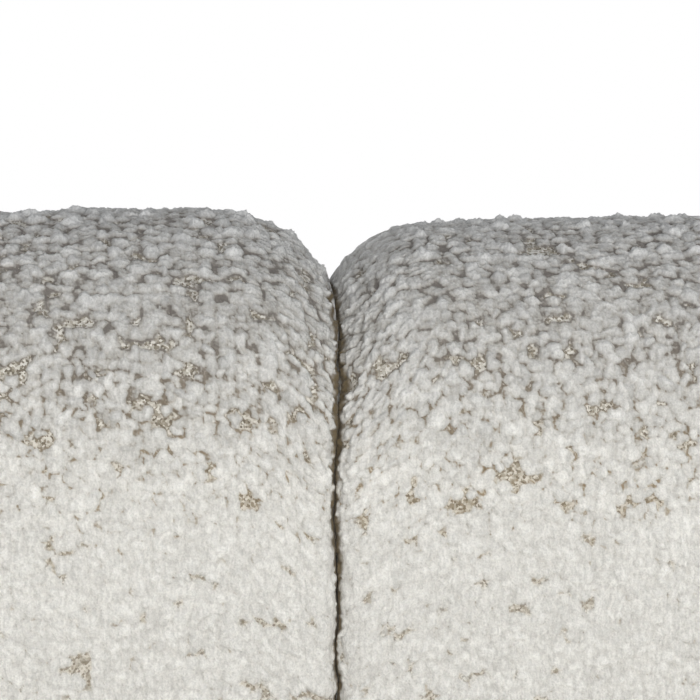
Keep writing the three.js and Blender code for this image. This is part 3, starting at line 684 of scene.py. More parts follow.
@dataclass
class PadSurface:
    """A padded form as a mesh: an even grid all over, and a finer one inside its window."""

    form: PaddedForm
    spacing: float
    salt: int
    pile: LoopPile = LoopPile()
    window: Window | None = None
    seam_end: int = 0
    unevenness: float = 1.0
    openness: float = 0.0
    swell: float = 4.2
    sink: float = 0.0
    panel: tuple[float, float, float] | None = None
    panel_face: int = 1
    panel_depth: float = 2.2
    panel_shade: float = 0.92

    def panel_distance(self, points: np.ndarray) -> np.ndarray:
        """Distance from the seam round a face's panel, in mm.

        Formula: a rounded rectangle's own distance, taken on the form's length and height, on one face only.

        Args:
            points: the form's surface.

        Returns:
            The distance, and 99 on the other face.
        """
        from_end, from_top, corner = self.panel
        run = np.abs(points[..., 0]) - (self.form.length / 2 - from_end - corner)
        rise = points[..., 2] - (self.form.height - from_top - corner)
        outside = np.hypot(np.maximum(run, 0.0), np.maximum(rise, 0.0))
        away = np.abs(outside + np.minimum(np.maximum(run, rise), 0.0) - corner)
        return np.where(points[..., 1] * self.panel_face > 0, away, 99.0)

    def lumps(self, points: np.ndarray) -> np.ndarray:
        """Slow unevenness of foam under cloth: two soft noises on the points' own places.

        Args:
            points: the form's surface.

        Returns:
            How far each point stands out, in mm.
        """
        a = soft_noise(points[..., 0] / 31.0 + 9.0, (points[..., 2] + 0.6 * points[..., 1]) / 27.0, self.salt)
        b = soft_noise(points[..., 0] / 11.0, (points[..., 2] - 0.8 * points[..., 1]) / 10.0, self.salt + 3)
        return self.unevenness * (1.6 * (a - 0.5) + 1.1 * (b - 0.5))

    def loops(
        self, stations: np.ndarray, ring: np.ndarray, worn: Wear | None
    ) -> tuple[np.ndarray, dict[str, np.ndarray]]:
        """The window's surface, with the pile on it.

        Formula: a point is pushed out by the slow lumps, and by the pile's height less its usual height, which
        fades out at the window's borders. With s the distance from the seam, the lower front swells by
        exp(-((s - 12) / 10)^2) of its swell, and the top sinks by exp(-(s / 14)^2) of its sink. The seam's
        shade ends on a ragged line.

        Args:
            stations: rows of (place along, closing share).
            ring: places round the slice, from 0 to 8.
            worn: how far the pile is flattened, from 0 to 1, as a function of (points, s, t).

        Returns:
            The points (stations, ring, 3), and the fields.
        """
        window, pile = self.window, self.pile
        base = self.form.surface(stations, ring)
        level = base[..., 2]
        along = walked(self.form.surface(stations, np.array([FRONT_FACE]))[:, 0])
        around = walked(self.form.surface(stations[len(stations) // 2][None], ring)[0])
        s, t = np.meshgrid(along, around, indexing="ij")
        if self.seam_end > 0:
            s = s.max() - s
        edge = smooth(0.0, window.fade, t) * smooth(0.0, window.fade, t.max() - t)
        edge = edge * smooth(0.0, window.fade, s.max() - s)
        height, tone, bare = pile.stand(s, t, smooth(*window.pressed, level), self.salt)
        if worn is not None:
            flat = worn(base, s, t)
            height = height * (1.0 - flat) + flat * (0.62 * pile.clump_height)
        loft = 0.5 + 0.72 * smooth(*window.lofted, level)
        push = self.lumps(base) + (height - 0.8 * pile.clump_height) * edge * loft
        if self.seam_end != 0:
            push += self.swell * smooth(*window.swollen, level) * np.exp(-(((s - 12.0) / 10.0) ** 2))
            push -= self.sink * smooth(*window.sunk, level) * np.exp(-((s / 14.0) ** 2))
        share = height / (pile.clump_height + pile.lump_height)
        ragged = soft_noise(t / 8.0, s / 6.0, self.salt + 80) + 0.6 * soft_noise(t / 2.6, s / 2.6, self.salt + 81)
        seam = np.clip(1.3 - s / (3.0 + 7.0 * ragged), 0.0, 1.0) * smooth(*window.shaded, level)
        # loop also carries the painted shade between the clumps, deeper where loft is larger, higher up; seam is the
        # groove's painted shade
        made = (
            1.0 - (1.0 - share) * (0.25 + 0.8 * loft),
            0.5 + (tone - 0.5) * (0.35 + 0.65 * smooth(*window.toned, level)),
            np.minimum(bare * (0.2 + 0.8 * loft), 1.0),
            edge,
            seam * (self.seam_end != 0),
            np.zeros_like(seam),
        )
        fields = {name: values.ravel() for name, values in zip(FIELDS, made)}
        return base + outward_normals(base, False) * push[..., None], fields

    @staticmethod
    def stitched(ids: np.ndarray, fine_ids: np.ndarray, top: int, left: int, split: int) -> list[np.ndarray]:
        """The polygons of a closed grid with a finer one let into it.

        A coarse cell beside the finer grid takes that grid's points into their common side, so that no gap
        is left between them.

        Args:
            ids: the coarse grid's point numbers, which are the finer grid's where the two share a place.
            fine_ids: the finer grid's point numbers.
            top: the coarse row in which the finer grid starts.
            left: the coarse column in which it starts.
            split: fine steps to a coarse one.

        Returns:
            Polygons, in arrays of one width each.
        """
        bottom, right = (start + size // split for start, size in zip((top, left), fine_ids.shape))
        row, column = np.meshgrid(np.arange(len(ids) - 1), np.arange(ids.shape[1]), indexing="ij")
        in_rows, in_columns = (row >= top) & (row < bottom), (column >= left) & (column < right)
        inner = np.arange(1, split)
        wide = split * np.arange(right - left)[:, None]
        tall = split * np.arange(bottom - top)[:, None]
        cells, plain = grid_cells(ids, True), ~(in_rows & in_columns)
        polygons = []
        for beside, at, added in (
            ((row == top - 1) & in_columns, 3, fine_ids[0][wide + inner[::-1]]),
            ((row == bottom) & in_columns, 1, fine_ids[-1][wide + inner]),
            ((column == left - 1) & in_rows, 2, fine_ids[:, 0][tall + inner]),
            ((column == right) & in_rows, 4, fine_ids[:, -1][tall + inner[::-1]]),
        ):
            plain &= ~beside
            corners = cells[beside.ravel()]
            polygons.append(np.concatenate([corners[:, :at], added, corners[:, at:]], axis=1))
        return [cells[plain.ravel()], grid_cells(fine_ids, False), *polygons]

    def build(self, worn: Wear | None = None) -> Mesh:
        """The whole mesh.

        Formula: a coarse point is pushed out along its normal by the slow lumps, and drawn in by exp(-(d/4)^2)
        of the seam's depth at distance d from the panel's seam. The window's part is replaced by its loops.

        Args:
            worn: how far the pile is flattened, from 0 to 1, as a function of (points, s, t).

        Returns:
            The mesh, with its fields: loop, tone, bare, fine, seam and open.
        """
        stations, ring = self.form.stations(self.spacing), self.form.ring(self.spacing)
        base = self.form.surface(stations, ring)
        normal = outward_normals(base, True)
        loose = (1.0 - smooth(0.0, 0.4, stations[:, 1]))[:, None, None]
        coarse = base + normal * self.lumps(base)[..., None] * loose
        ids = numbered(coarse)
        fields = {name: np.zeros(ids.size) for name in FIELDS}
        fields["open"] += self.openness
        if self.panel is not None:
            near = self.panel_distance(base)
            coarse -= normal * (self.panel_depth * drawn_by_seam(near) * loose[..., 0])[..., None]
            fields["seam"] = self.panel_shade * shade_by_seam(near).ravel()
        points, weld = coarse.reshape(-1, 3), np.concatenate([ids[0], ids[-1]])
        if self.window is None:
            return Mesh(points, [grid_cells(ids, True)], fields, weld)

        (low, high), (start, end), split = self.window.along, self.window.ring, self.window.split
        body = (stations[:, 0] >= low) & (stations[:, 0] <= high) & (stations[:, 1] == 0)
        rows, columns = np.flatnonzero(body), np.flatnonzero((ring >= start) & (ring <= end))
        top, bottom, left, right = rows[0], rows[-1], columns[0], columns[-1]
        fine_stations = np.stack([finer(stations[:, i], top, bottom, split) for i in (0, 1)], axis=1)
        fine, made = self.loops(fine_stations, finer(ring, left, right, split), worn)
        fine_ids = len(points) + numbered(fine)
        ids[top : bottom + 1, left : right + 1] = fine_ids[::split, ::split]
        return Mesh(
            np.concatenate([points, fine.reshape(-1, 3)]),
            self.stitched(ids, fine_ids, top, left, split),
            {name: np.concatenate([fields[name], made[name]]) for name in FIELDS},
            weld,
        )


# Finishes


def linear(code: str) -> tuple[float, float, float, float]:
    """An sRGB hex colour as the linear colour that a shader takes.

    Args:
        code: the colour, as "#RRGGBB".

    Returns:
        Red, green, blue and 1.
    """
    parts = [int(code[i : i + 2], 16) / 255 for i in (1, 3, 5)]
    turned = [part / 12.92 if part <= 0.04045 else ((part + 0.055) / 1.055) ** 2.4 for part in parts]
    return (*turned, 1.0)


Stops = tuple[tuple[float, str], ...]
Value = float | str | tuple[float, ...] | bpy.types.Node | bpy.types.NodeSocket
Add = Callable[..., bpy.types.Node]
Look = dict[str, Value]


def add_node(
    tree: bpy.types.NodeTree, kind: str, *inputs: Value, stops: Stops = (), **named: Value | bool
) -> bpy.types.Node:
    """Adds a node, sets it, and fills its inputs.

    Args:
        tree: the material's or world's nodes.
        kind: the node's type name, without the "ShaderNode" that all of them start with.
        inputs: what the shown inputs take, in order: a value, an sRGB hex colour, another node's output, or a
            node, which stands for its first shown output.
        stops: a colour ramp's pairs of (place, sRGB hex colour).
        named: the node's own properties, in small letters, and inputs by name, with a capital.

    Returns:
        The node.
    """
    node = tree.nodes.new("ShaderNode" + kind)
    for name in [name for name in named if name.islower()]:
        setattr(node, name, named.pop(name))
    pairs = list(zip([socket for socket in node.inputs if socket.enabled], inputs))
    pairs += [(node.inputs[name], value) for name, value in named.items()]
    for socket, value in pairs:
        if isinstance(value, bpy.types.Node):
            value = next(output for output in value.outputs if output.enabled)
        if isinstance(value, bpy.types.NodeSocket):
            tree.links.new(value, socket)
        else:
            socket.default_value = linear(value) if isinstance(value, str) else value
    for number, (place, code) in enumerate(stops):
        marks = node.color_ramp.elements
        mark = marks[number] if number < len(marks) else marks.new(1.0)
        mark.position, mark.color = place, linear(code)
    return node


def cleared(block: bpy.types.Material | bpy.types.World) -> Add:
    """Empties a material's or a world's nodes.

    Args:
        block: the material or the world.

    Returns:
        The function that adds a node to it.
    """
    block.use_nodes = True
    block.node_tree.nodes.clear()
    return partial(add_node, block.node_tree)


@dataclass(frozen=True)
class Finish:
    """What every finish has: a name, and the shader values that are the same all over it."""

    name: str
    roughness: float = 0.8
    metallic: float = 0.0
    ior: float = 1.5
    sheen: float = 0.0
    coat: float = 0.0

    def pattern(self, add: Add, place: bpy.types.NodeSocket) -> Look:
        """What varies over the surface.

        Args:
            add: adds a node to the material.
            place: the object's own coordinates, in metres.

        Returns:
            A node or a value for each input of the main shader that the pattern drives.
        """
        raise NotImplementedError

    def material(self) -> bpy.types.Material:
        """The material: the main shader with the fields' values, and the pattern over it.

        Returns:
            The new material.
        """
        material = bpy.data.materials.new(self.name)
        add = cleared(material)
        even = {"Roughness": self.roughness, "Metallic": self.metallic, "IOR": self.ior}
        even |= {"Sheen Weight": self.sheen, "Coat Weight": self.coat}
        look = self.pattern(add, add("TexCoord").outputs["Object"])
        add("OutputMaterial", add("BsdfPrincipled", **(even | look)))
        return material


class Axis(Enum):
    """A way through the frame, as the place of its number in a point."""

    X = 0
    Y = 1
    Z = 2

    def stretched(self, scale: float, ratio: float) -> tuple[float, float, float]:
        """A Mapping node's scale that draws a pattern out `ratio` times along this axis."""
        return tuple(scale / ratio if way is self else scale for way in Axis)


@dataclass(frozen=True)
class Boucle(Finish):
    """Looped chenille boucle, woven and washed: thick ivory clumps, brown shade between them, and specks of
    cream and brown where the ground weave shows. Matt, with a faint bloom of fibre at grazing light."""

    name: str = "looped_ivory_boucle"
    roughness: float = 0.95
    ior: float = 1.4
    sheen: float = 0.12
    clump: float = 0.0062
    lump: float = 0.0024
    fibre: float = 0.0011
    thread: float = 0.0013
    stroke: float = 0.0013
    bend: float = 0.005
    opened: float = 0.26
    # The loops' ivory, with painted shade in its darker, lower stops
    yarn_and_depth_shade: Stops = ((0.1, "#ABA69D"), (0.26, "#CFCCC6"), (0.48, "#E8E7E4"), (0.85, "#FAFAF8"))
    weave: Stops = ((0.0, "#766E60"), (0.3, "#A79F90"), (0.52, "#CFCABF"), (0.82, "#F6F3EC"))
    # Painted shade in the cracks between clumps; the warm one also stands in for light bounced up from the seat
    crevice_shade: str = "#938D87"
    warm_crevice_shade: str = "#A08C6C"
    groove: str = "#71644C"
    top_shade_tint: str = "#D0D1D4"
    front_tint: str = "#FFFEFC"

    def pattern(self, add: Add, place: bpy.types.NodeSocket) -> Look:
        """The loops come from the mesh where it has them, and from a cell pattern elsewhere.

        The mesh's numbers are loop (height), tone (of a clump), bare (open weave), fine (1 where the mesh has
        loops), seam (shade of a seam or groove) and open (how far the cell pattern's clumps stand apart).

        Args:
            add: adds a node to the material.
            place: the object's own coordinates, in metres.

        Returns:
            The colour and the bump.
        """
        marks = {
            name: add("Attribute", attribute_name=name).outputs["Fac"]
            for name in ("loop", "tone", "bare", "fine", "seam", "open")
        }
        rise = add("SeparateXYZ", place).outputs["Z"]
        cloud = add("TexNoise", place, Scale=0.8 / self.clump, Detail=1.0)
        shift = add("VectorMath", cloud.outputs["Color"], (0.5,) * 3, operation="SUBTRACT")
        bent = add("VectorMath", shift, (self.bend,) * 3, place, operation="MULTIPLY_ADD")

        # The loops' height, which here only colours: the cell pattern's, whose cracks reach lower for darker painted
        # shade higher up, and the mesh's own where it is fine
        crevice_shade_floor = add("MapRange", rise, 0.54, 0.7, 0.38, 0.13)
        apart = add("Math", marks["open"], -self.opened, crevice_shade_floor, operation="MULTIPLY_ADD")
        border = add("TexVoronoi", bent, Scale=0.92 / self.clump, feature="DISTANCE_TO_EDGE")
        packed = add("MapRange", border, 0.01, 0.2, apart, 0.92, interpolation_type="SMOOTHSTEP")
        loop = add("Mix", marks["fine"], packed, marks["loop"])
        blotch = add("TexNoise", place, Scale=150.0, Detail=3.0)
        tone = add("Mix", marks["fine"], blotch, marks["tone"])
        patch = add("TexNoise", place, Scale=60.0, Detail=2.0)
        far_bare = add("MapRange", patch, 0.58, 0.74, 0.0, 0.45, interpolation_type="SMOOTHSTEP")
        bare = add("Mix", marks["fine"], far_bare, marks["bare"])

        # The colour: ivory, darkened as painted shade where the loops stand low, then the clump's tone, and streaks
        # and fuzz of fibre
        fibres = add("TexNoise", place, Scale=1.0 / self.fibre, Detail=2.0)
        drawn_out = add("Mapping", bent, Scale=Axis.Z.stretched(1.0 / self.stroke, 3.2))
        strokes = add("TexNoise", drawn_out, Scale=0.7, Detail=2.0)
        shade = add("MapRange", tone, 0.0, 1.0, 0.77, 1.13)
        frayed = add("MapRange", strokes, 0.32, 0.62, 0.87, 1.05)
        fuzz = add("MapRange", fibres, 0.3, 0.7, 0.86, 1.08)
        even = add("Math", shade, frayed, operation="MULTIPLY")
        level = add("Math", even, fuzz, operation="MULTIPLY")

        # The cracks between the clumps, in painted shade that spreads wider low on the front and turns brown there as
        # painted warm light bounced from the seat
        low = add("MapRange", rise, 0.69, 0.6, 0.0, marks["fine"])
        shallow, deepest = (
            add("MapRange", low, 0.0, 1.0, high, pressed) for high, pressed in ((0.24, 0.47), (0.07, 0.28))
        )
        deep = add("MapRange", loop, shallow, deepest, interpolation_type="SMOOTHSTEP")
        crevice_shade = add("Mix", low, self.crevice_shade, self.warm_crevice_shade, data_type="RGBA")
        shaded = add("Mix", deep, add("ValToRGB", loop, stops=self.yarn_and_depth_shade), crevice_shade, data_type="RGBA")
        toned = add("VectorMath", shaded, level, operation="SCALE")

        # The open weave, the painted shade of seams and groove, and painted shade that greys the top
        threads = add("TexVoronoi", place, Scale=1.0 / self.thread, Randomness=0.8)
        speck = add("SeparateColor", threads.outputs["Color"])
        weave = add("ValToRGB", speck, stops=self.weave)
        mixed = add("Mix", bare, toned, weave, data_type="RGBA")
        # Painted shade along the seams and in the groove, brown there where the ground weave shows
        seam = add("MapRange", marks["seam"], 0.55, 0.95, interpolation_type="SMOOTHSTEP")
        seamed = add("Mix", seam, mixed, self.groove, data_type="RGBA")
        # Painted shade: the top turns greyer as it lies away from the front light
        painted_top_shade = add("MapRange", rise, 0.61, 0.76)
        tint = add("Mix", painted_top_shade, self.front_tint, self.top_shade_tint, data_type="RGBA")
        shown = add("Mix", 1.0, seamed, tint, data_type="RGBA", blend_type="MULTIPLY")

        # The bump: clumps where the mesh has none, then lumps and fibres
        cells = add("TexVoronoi", bent, Scale=0.92 / self.clump)
        drop = add("Math", cells, 1.2, operation="MULTIPLY")
        square = add("Math", drop, 1.5, operation="POWER")
        drawn = add("Math", 1.0, square, operation="SUBTRACT", use_clamp=True)
        far = add("Math", 1.0, marks["fine"], operation="SUBTRACT")
        big = add("Math", drawn, far, operation="MULTIPLY")
        lumps = add("TexVoronoi", bent, Scale=1.0 / self.lump)
        small = add("Math", lumps, -0.16, big, operation="MULTIPLY_ADD")
        height = add("Math", fibres, 0.3, small, operation="MULTIPLY_ADD")
        return {"Base Color": shown, "Normal": add("Bump", Height=height, Distance=0.0028, Strength=0.9)}


@dataclass(frozen=True)
class Softwood(Finish):
    """Pine, planed and left bare: pale straw earlywood, fine darker latewood lines along the grain, and dry."""

    name: str = "planed_pine"
    roughness: float = 0.72
    ring: float = 0.0045
    grain: Axis = Axis.X
    wood: Stops = ((0.3, "#B98D57"), (0.42, "#D3AE79"), (0.52, "#E2C596"), (0.6, "#CDA56F"), (0.72, "#E6CB9E"))

    def pattern(self, add: Add, place: bpy.types.NodeSocket) -> Look:
        """Growth rings and pores, both drawn out along the grain.

        Args:
            add: adds a node to the material.
            place: the object's own coordinates, in metres.

        Returns:
            What drives the main shader.
        """
        along = add("Mapping", place, Scale=self.grain.stretched(1.0 / self.ring, 26.0))
        rings = add("TexNoise", along, Scale=0.55, Detail=4.0, Distortion=0.5)
        pores = add("Mapping", place, Scale=self.grain.stretched(2600.0, 40.0))
        fine = add("TexNoise", pores, Scale=1.0, Detail=2.0)
        tint = add("MapRange", fine, 0.3, 0.7, 0.9, 1.05)
        toned = add("VectorMath", add("ValToRGB", rings, stops=self.wood), tint, operation="SCALE")
        return {"Base Color": toned, "Normal": add("Bump", Height=fine, Distance=0.0003, Strength=0.4)}


@dataclass(frozen=True)
class BirchPlywood(Finish):
    """Birch plywood, sanded and sawn: a smooth cream face, and thin light and dark veneers at every cut edge."""

    name: str = "sanded_birch_plywood"
    roughness: float = 0.6
    veneer: float = 0.0015
    through: Axis = Axis.Y
    grain: Axis = Axis.X
    veneers: Stops = ((0.0, "#DDC08E"), (0.12, "#B08857"), (0.5, "#CDA872"), (1.0, "#E6CFA2"))

    def pattern(self, add: Add, place: bpy.types.NodeSocket) -> Look:
        """Veneers that follow a sine through the board's thickness, and streaks along the grain.

        Args:
            add: adds a node to the material.
            place: the object's own coordinates, in metres.

        Returns:
            What drives the main shader.
        """
        depth = add("SeparateXYZ", place).outputs[self.through.value]
        wave = add("Math", add("Math", depth, math.pi / self.veneer, operation="MULTIPLY"), operation="SINE")
        along = add("Mapping", place, Scale=self.grain.stretched(420.0, 30.0))
        streak = add("TexNoise", along, Scale=1.0, Detail=3.0)
        tint = add("MapRange", streak, 0.3, 0.7, 0.88, 1.06)
        toned = add("VectorMath", add("ValToRGB", wave, stops=self.veneers), tint, operation="SCALE")
        return {"Base Color": toned, "Normal": add("Bump", Height=streak, Distance=0.0002, Strength=0.4)}


@dataclass(frozen=True)
class StainedWalnut(Finish):
    """Turned hardwood under a dark walnut stain and satin lacquer: brown streaks up the leg, and soft, wide gloss."""

    name: str = "satin_walnut_stained_beech"
    coat: float = 0.25
    coat_roughness: float = 0.3
    grain: float = 0.0022
    stain: Stops = ((0.3, "#35200F"), (0.45, "#553620"), (0.56, "#68452B"), (0.7, "#4A2E1B"))

    def pattern(self, add: Add, place: bpy.types.NodeSocket) -> Look:
        """Grain that runs up the leg, in the colour, the gloss and the bump.

        Args:
            add: adds a node to the material.
            place: the object's own coordinates, in metres.

        Returns:
            What drives the main shader.
        """
        along = add("Mapping", place, Scale=Axis.Z.stretched(1.0 / self.grain, 22.0))
        streak = add("TexNoise", along, Scale=0.6, Detail=5.0, Distortion=0.3)
        return {
            "Base Color": add("ValToRGB", streak, stops=self.stain),
            "Roughness": add("MapRange", streak, 0.3, 0.7, 0.44, 0.34),
            "Coat Roughness": self.coat_roughness,
            "Normal": add("Bump", Height=streak, Distance=0.0002, Strength=0.3),
        }


@dataclass(frozen=True)
class Steel(Finish):
    """A steel part: smooth metal with faint blotches of oil or plating in its colour and gloss."""

    metallic: float = 1.0
    light: str = "#C2C4C4"
    dark: str = "#9DA0A2"
    blotch: float = 0.009

    def pattern(self, add: Add, place: bpy.types.NodeSocket) -> Look:
        """The blotches, of which the lighter are also the glossier.

        Args:
            add: adds a node to the material.
            place: the object's own coordinates, in metres.

        Returns:
            What drives the main shader.
        """
        cloud = add("TexNoise", place, Scale=1.0 / self.blotch, Detail=5.0)
        gloss = add("MapRange", cloud, 0.3, 0.7, self.roughness + 0.08, self.roughness - 0.06)
        colour = add("ValToRGB", cloud, stops=((0.35, self.dark), (0.65, self.light)))
        return {"Base Color": colour, "Roughness": gloss}


@dataclass(frozen=True)
class MouldedNylon(Finish):
    """Nylon, injection moulded: even dark brown with the dull, fine pebble of a spark-eroded mould."""

    name: str = "moulded_brown_nylon"
    roughness: float = 0.5
    ior: float = 1.53
    pebble: float = 0.0006

    def pattern(self, add: Add, place: bpy.types.NodeSocket) -> Look:
        """Scuffs in the colour, and the mould's pebble as bump.

        Args:
            add: adds a node to the material.
            place: the object's own coordinates, in metres.

        Returns:
            What drives the main shader.
        """
        grain = add("TexNoise", place, Scale=1.0 / self.pebble, Detail=2.0)
        scuff = add("TexNoise", place, Scale=160.0, Detail=4.0)
        colour = add("ValToRGB", scuff, stops=((0.4, "#37322D"), (0.62, "#433D37")))
        return {"Base Color": colour, "Normal": add("Bump", Height=grain, Distance=0.0001, Strength=0.5)}


@dataclass(frozen=True)
class PlainWeave(Finish):
    """A plain-woven cloth: warp and weft pass over each other in turn, so that light catches a fine chequer."""

    thread: float = 0.0012
    stray: float = 0.0006
    light: str = "#C6BDAF"
    dark: str = "#8F8778"
    roughness: float = 0.92
    sheen: float = 0.1
    axes: tuple[Axis, Axis] = (Axis.X, Axis.Y)

    def pattern(self, add: Add, place: bpy.types.NodeSocket) -> Look:
        """The size of sine(x) times sine(y) is how high the upper thread lies, and slubs lighten it in places.

        Args:
            add: adds a node to the material.
            place: the object's own coordinates, in metres.

        Returns:
            What drives the main shader.
        """
        noise = add("TexNoise", place, Scale=240.0, Detail=2.0)
        strayed = add("VectorMath", noise.outputs["Color"], (self.stray,) * 3, place, operation="MULTIPLY_ADD")
        parts = add("SeparateXYZ", strayed)
        turns = (
            add("Math", parts.outputs[axis.value], math.pi / self.thread, operation="MULTIPLY")
            for axis in self.axes
        )
        over = add("Math", *(add("Math", turn, operation="SINE") for turn in turns), operation="MULTIPLY")
        level = add("Math", over, operation="ABSOLUTE")
        slub = add("TexNoise", place, Scale=90.0, Detail=3.0)
        mixed = add("Math", slub, 0.6, level, operation="MULTIPLY_ADD")
        colour = add("ValToRGB", mixed, stops=((0.25, self.dark), (0.95, self.light)))
        return {"Base Color": colour, "Normal": add("Bump", Height=mixed, Distance=0.0005, Strength=0.7)}


@dataclass(frozen=True)
class DustCloth(Finish):
    """Spun-bonded polypropylene dust cloth: black, papery, point-welded in a fine grid, with matted fibres."""

    name: str = "black_spunbond_dust_cloth"
    roughness: float = 0.85
    weld: float = 0.0024
    fibre: float = 0.0008

    def pattern(self, add: Add, place: bpy.types.NodeSocket) -> Look:
        """A weld point in every cell of a nearly square grid, among matted fibres.

        Args:
            add: adds a node to the material.
            place: the object's own coordinates, in metres.

        Returns:
            What drives the main shader.
        """
        points = add("TexVoronoi", place, Scale=1.0 / self.weld, Randomness=0.12)
        mat = add("TexNoise", place, Scale=1.0 / self.fibre, Detail=4.0, Distortion=1.5)
        dip = add("MapRange", points, 0.12, 0.3, interpolation_type="SMOOTHSTEP")
        height = add("Math", mat, 0.5, dip, operation="MULTIPLY_ADD")
        colour = add("ValToRGB", mat, stops=((0.35, "#1C1C1D"), (0.7, "#3B3B3D")))
        return {"Base Color": colour, "Normal": add("Bump", Height=height, Distance=0.0003, Strength=0.8)}


@dataclass(frozen=True)
class SeatFoam(Finish):
    """Polyurethane seat foam, cut with a wire: pale yellow, chalky, and pitted all over with open cells."""

    name: str = "cut_seat_foam"
    roughness: float = 0.96
    cell: float = 0.0018

    def pattern(self, add: Add, place: bpy.types.NodeSocket) -> Look:
        """Pits from a cell pattern, drawn at twice the real cells' size so that it shows, and slow ageing.

        Args:
            add: adds a node to the material.
            place: the object's own coordinates, in metres.

        Returns:
            What drives the main shader.
        """
        cells = add("TexVoronoi", place, Scale=1.0 / self.cell)
        aged = add("TexNoise", place, Scale=14.0, Detail=3.0)
        mixed = add("Math", cells, -0.35, aged, operation="MULTIPLY_ADD")
        colour = add("ValToRGB", mixed, stops=((0.1, "#D6C692"), (0.6, "#F1E8C6")))
        return {"Base Color": colour, "Normal": add("Bump", Height=cells, Distance=0.0008, Strength=0.7)}


# The studio


@dataclass(frozen=True)
class Studio:
    """A pale floor that turns white away from the sofa, a soft lamp from the front, a weaker one from behind,
    and a camera with the photograph's own view."""

    camera_at: tuple[float, float, float] = (-93.2, -748.4, 813.5)
    look_right: float = 5.77
    look_down: float = 7.57
    lens: float = 92.57
    sensor: float = 36.0
    floor_radius: float = 7.5
    front_lamp: float = 3.3
    rear_lamp: float = 1.5
    lamp_size: float = 50.0
    sky: float = 0.32
    floor_glow: float = 0.5

    @staticmethod
    def faced(thing: bpy.types.Object, tilt: float, turn: float) -> None:
        """Turns a camera or lamp, tilted up from straight down and then turned about Z, and links it.

        Args:
            thing: the camera or the lamp.
            tilt: degrees from straight down.
            turn: degrees about Z.
        """
        thing.rotation_euler = (math.radians(tilt), 0.0, math.radians(turn))
        bpy.context.scene.collection.objects.link(thing)

    def camera(self) -> None:
        """Adds the camera and makes it the scene's own."""
        data = bpy.data.cameras.new("photo_camera")
        data.sensor_width = self.sensor
        data.lens = self.lens
        camera = bpy.data.objects.new("photo_camera", data)
        camera.location = [value * MM for value in self.camera_at]
        self.faced(camera, 90 - self.look_down, -self.look_right)
        bpy.context.scene.camera = camera

    def lamp(self, name: str, strength: float, azimuth: float, elevation: float, tint: str) -> None:
        """Adds one soft, far lamp.

        Args:
            name: the lamp's name.
            strength: its light, as a sun's strength.
            azimuth: degrees round from -Y towards +X where it stands.
            elevation: degrees above the horizon.
            tint: its sRGB hex colour.
        """
        data = bpy.data.lights.new(name, "SUN")
        data.energy = strength
        data.angle = math.radians(self.lamp_size)
        data.color = linear(tint)[:3]
        self.faced(bpy.data.objects.new(name, data), 90 - elevation, azimuth)

    @staticmethod
    def seen(add: Add) -> bpy.types.Node:
        """1 where the camera, a mirror or glass looks, and 0 where light is only gathered.

        Args:
            add: adds a node.

        Returns:
            The node.
        """
        path = add("LightPath").outputs
        direct = add("Math", path["Is Camera Ray"], path["Is Glossy Ray"], operation="MAXIMUM")
        return add("Math", direct, path["Is Transmission Ray"], operation="MAXIMUM")

    def world(self) -> None:
        """A plain sky, white where the camera, a mirror or glass sees it and grey where it lights."""
        world = bpy.data.worlds.new("studio_world")
        add = cleared(world)
        skies = [add("Background", "#F8FBFF", self.sky), add("Background", "#FFFFFF", 1.0)]
        add("OutputWorld", add("MixShader", self.seen(add), *skies))
        bpy.context.scene.world = world

    def floor(self) -> None:
        """A round matt floor. It keeps the sofa's shadow near the middle and is white further out."""
        material = bpy.data.materials.new("matt_white_studio_floor")
        add = cleared(material)
        place = add("TexCoord").outputs["Object"]
        away = add("VectorMath", place, operation="LENGTH")
        outer = add("MapRange", away, 1.6, 4.2, interpolation_type="SMOOTHSTEP")
        seen = self.seen(add)
        grain = add("TexNoise", place, Scale=60.0)
        matt = add("BsdfDiffuse", add("ValToRGB", grain, stops=((0.3, "#ECECEA"), (0.7, "#F1F1EF"))))
        glow = add("Emission", "#FFFFFF", add("Math", seen, self.floor_glow, operation="MULTIPLY"))
        near, white = add("AddShader", matt, glow), add("Emission", "#FFFFFF", 1.0)
        fade = add("Math", outer, seen, operation="MULTIPLY")
        add("OutputMaterial", add("MixShader", fade, near, white))
        turn = np.linspace(0.0, 2 * math.pi, 96, endpoint=False)
        rim = np.stack([np.cos(turn), np.sin(turn), np.zeros_like(turn)], axis=1) * self.floor_radius / MM
        floor = Mesh(rim, [np.arange(len(rim))[None]]).to_object("studio_floor", material)

    def build(self) -> None:
        """Camera, sky, lamps and floor."""
        self.camera()
        self.world()
        self.lamp("front_lamp", self.front_lamp, azimuth=4.0, elevation=0.0, tint="#FFFDF9")
        self.lamp("rear_lamp", self.rear_lamp, azimuth=195.0, elevation=10.0, tint="#FFFFFF")
        self.floor()
        settings = bpy.context.scene.view_settings
        settings.view_transform = "Standard"


# The sofa


def settle(piece: bpy.types.Object, slot: str, body: Body, *nodes: str) -> bpy.types.Object:
    """Tells the frame what a piece rides on and what it stands for.

    Args:
        piece: the finished piece.
        slot: the record's material slot; not used.
        body: what it rides on.
        nodes: the CAD nodes that it stands for.

    Returns:
        The piece.
    """
    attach(piece, body.value)
    if nodes:
        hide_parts(*nodes)
    log.info("%s: %d faces", piece.name, len(piece.data.polygons))
    return piece


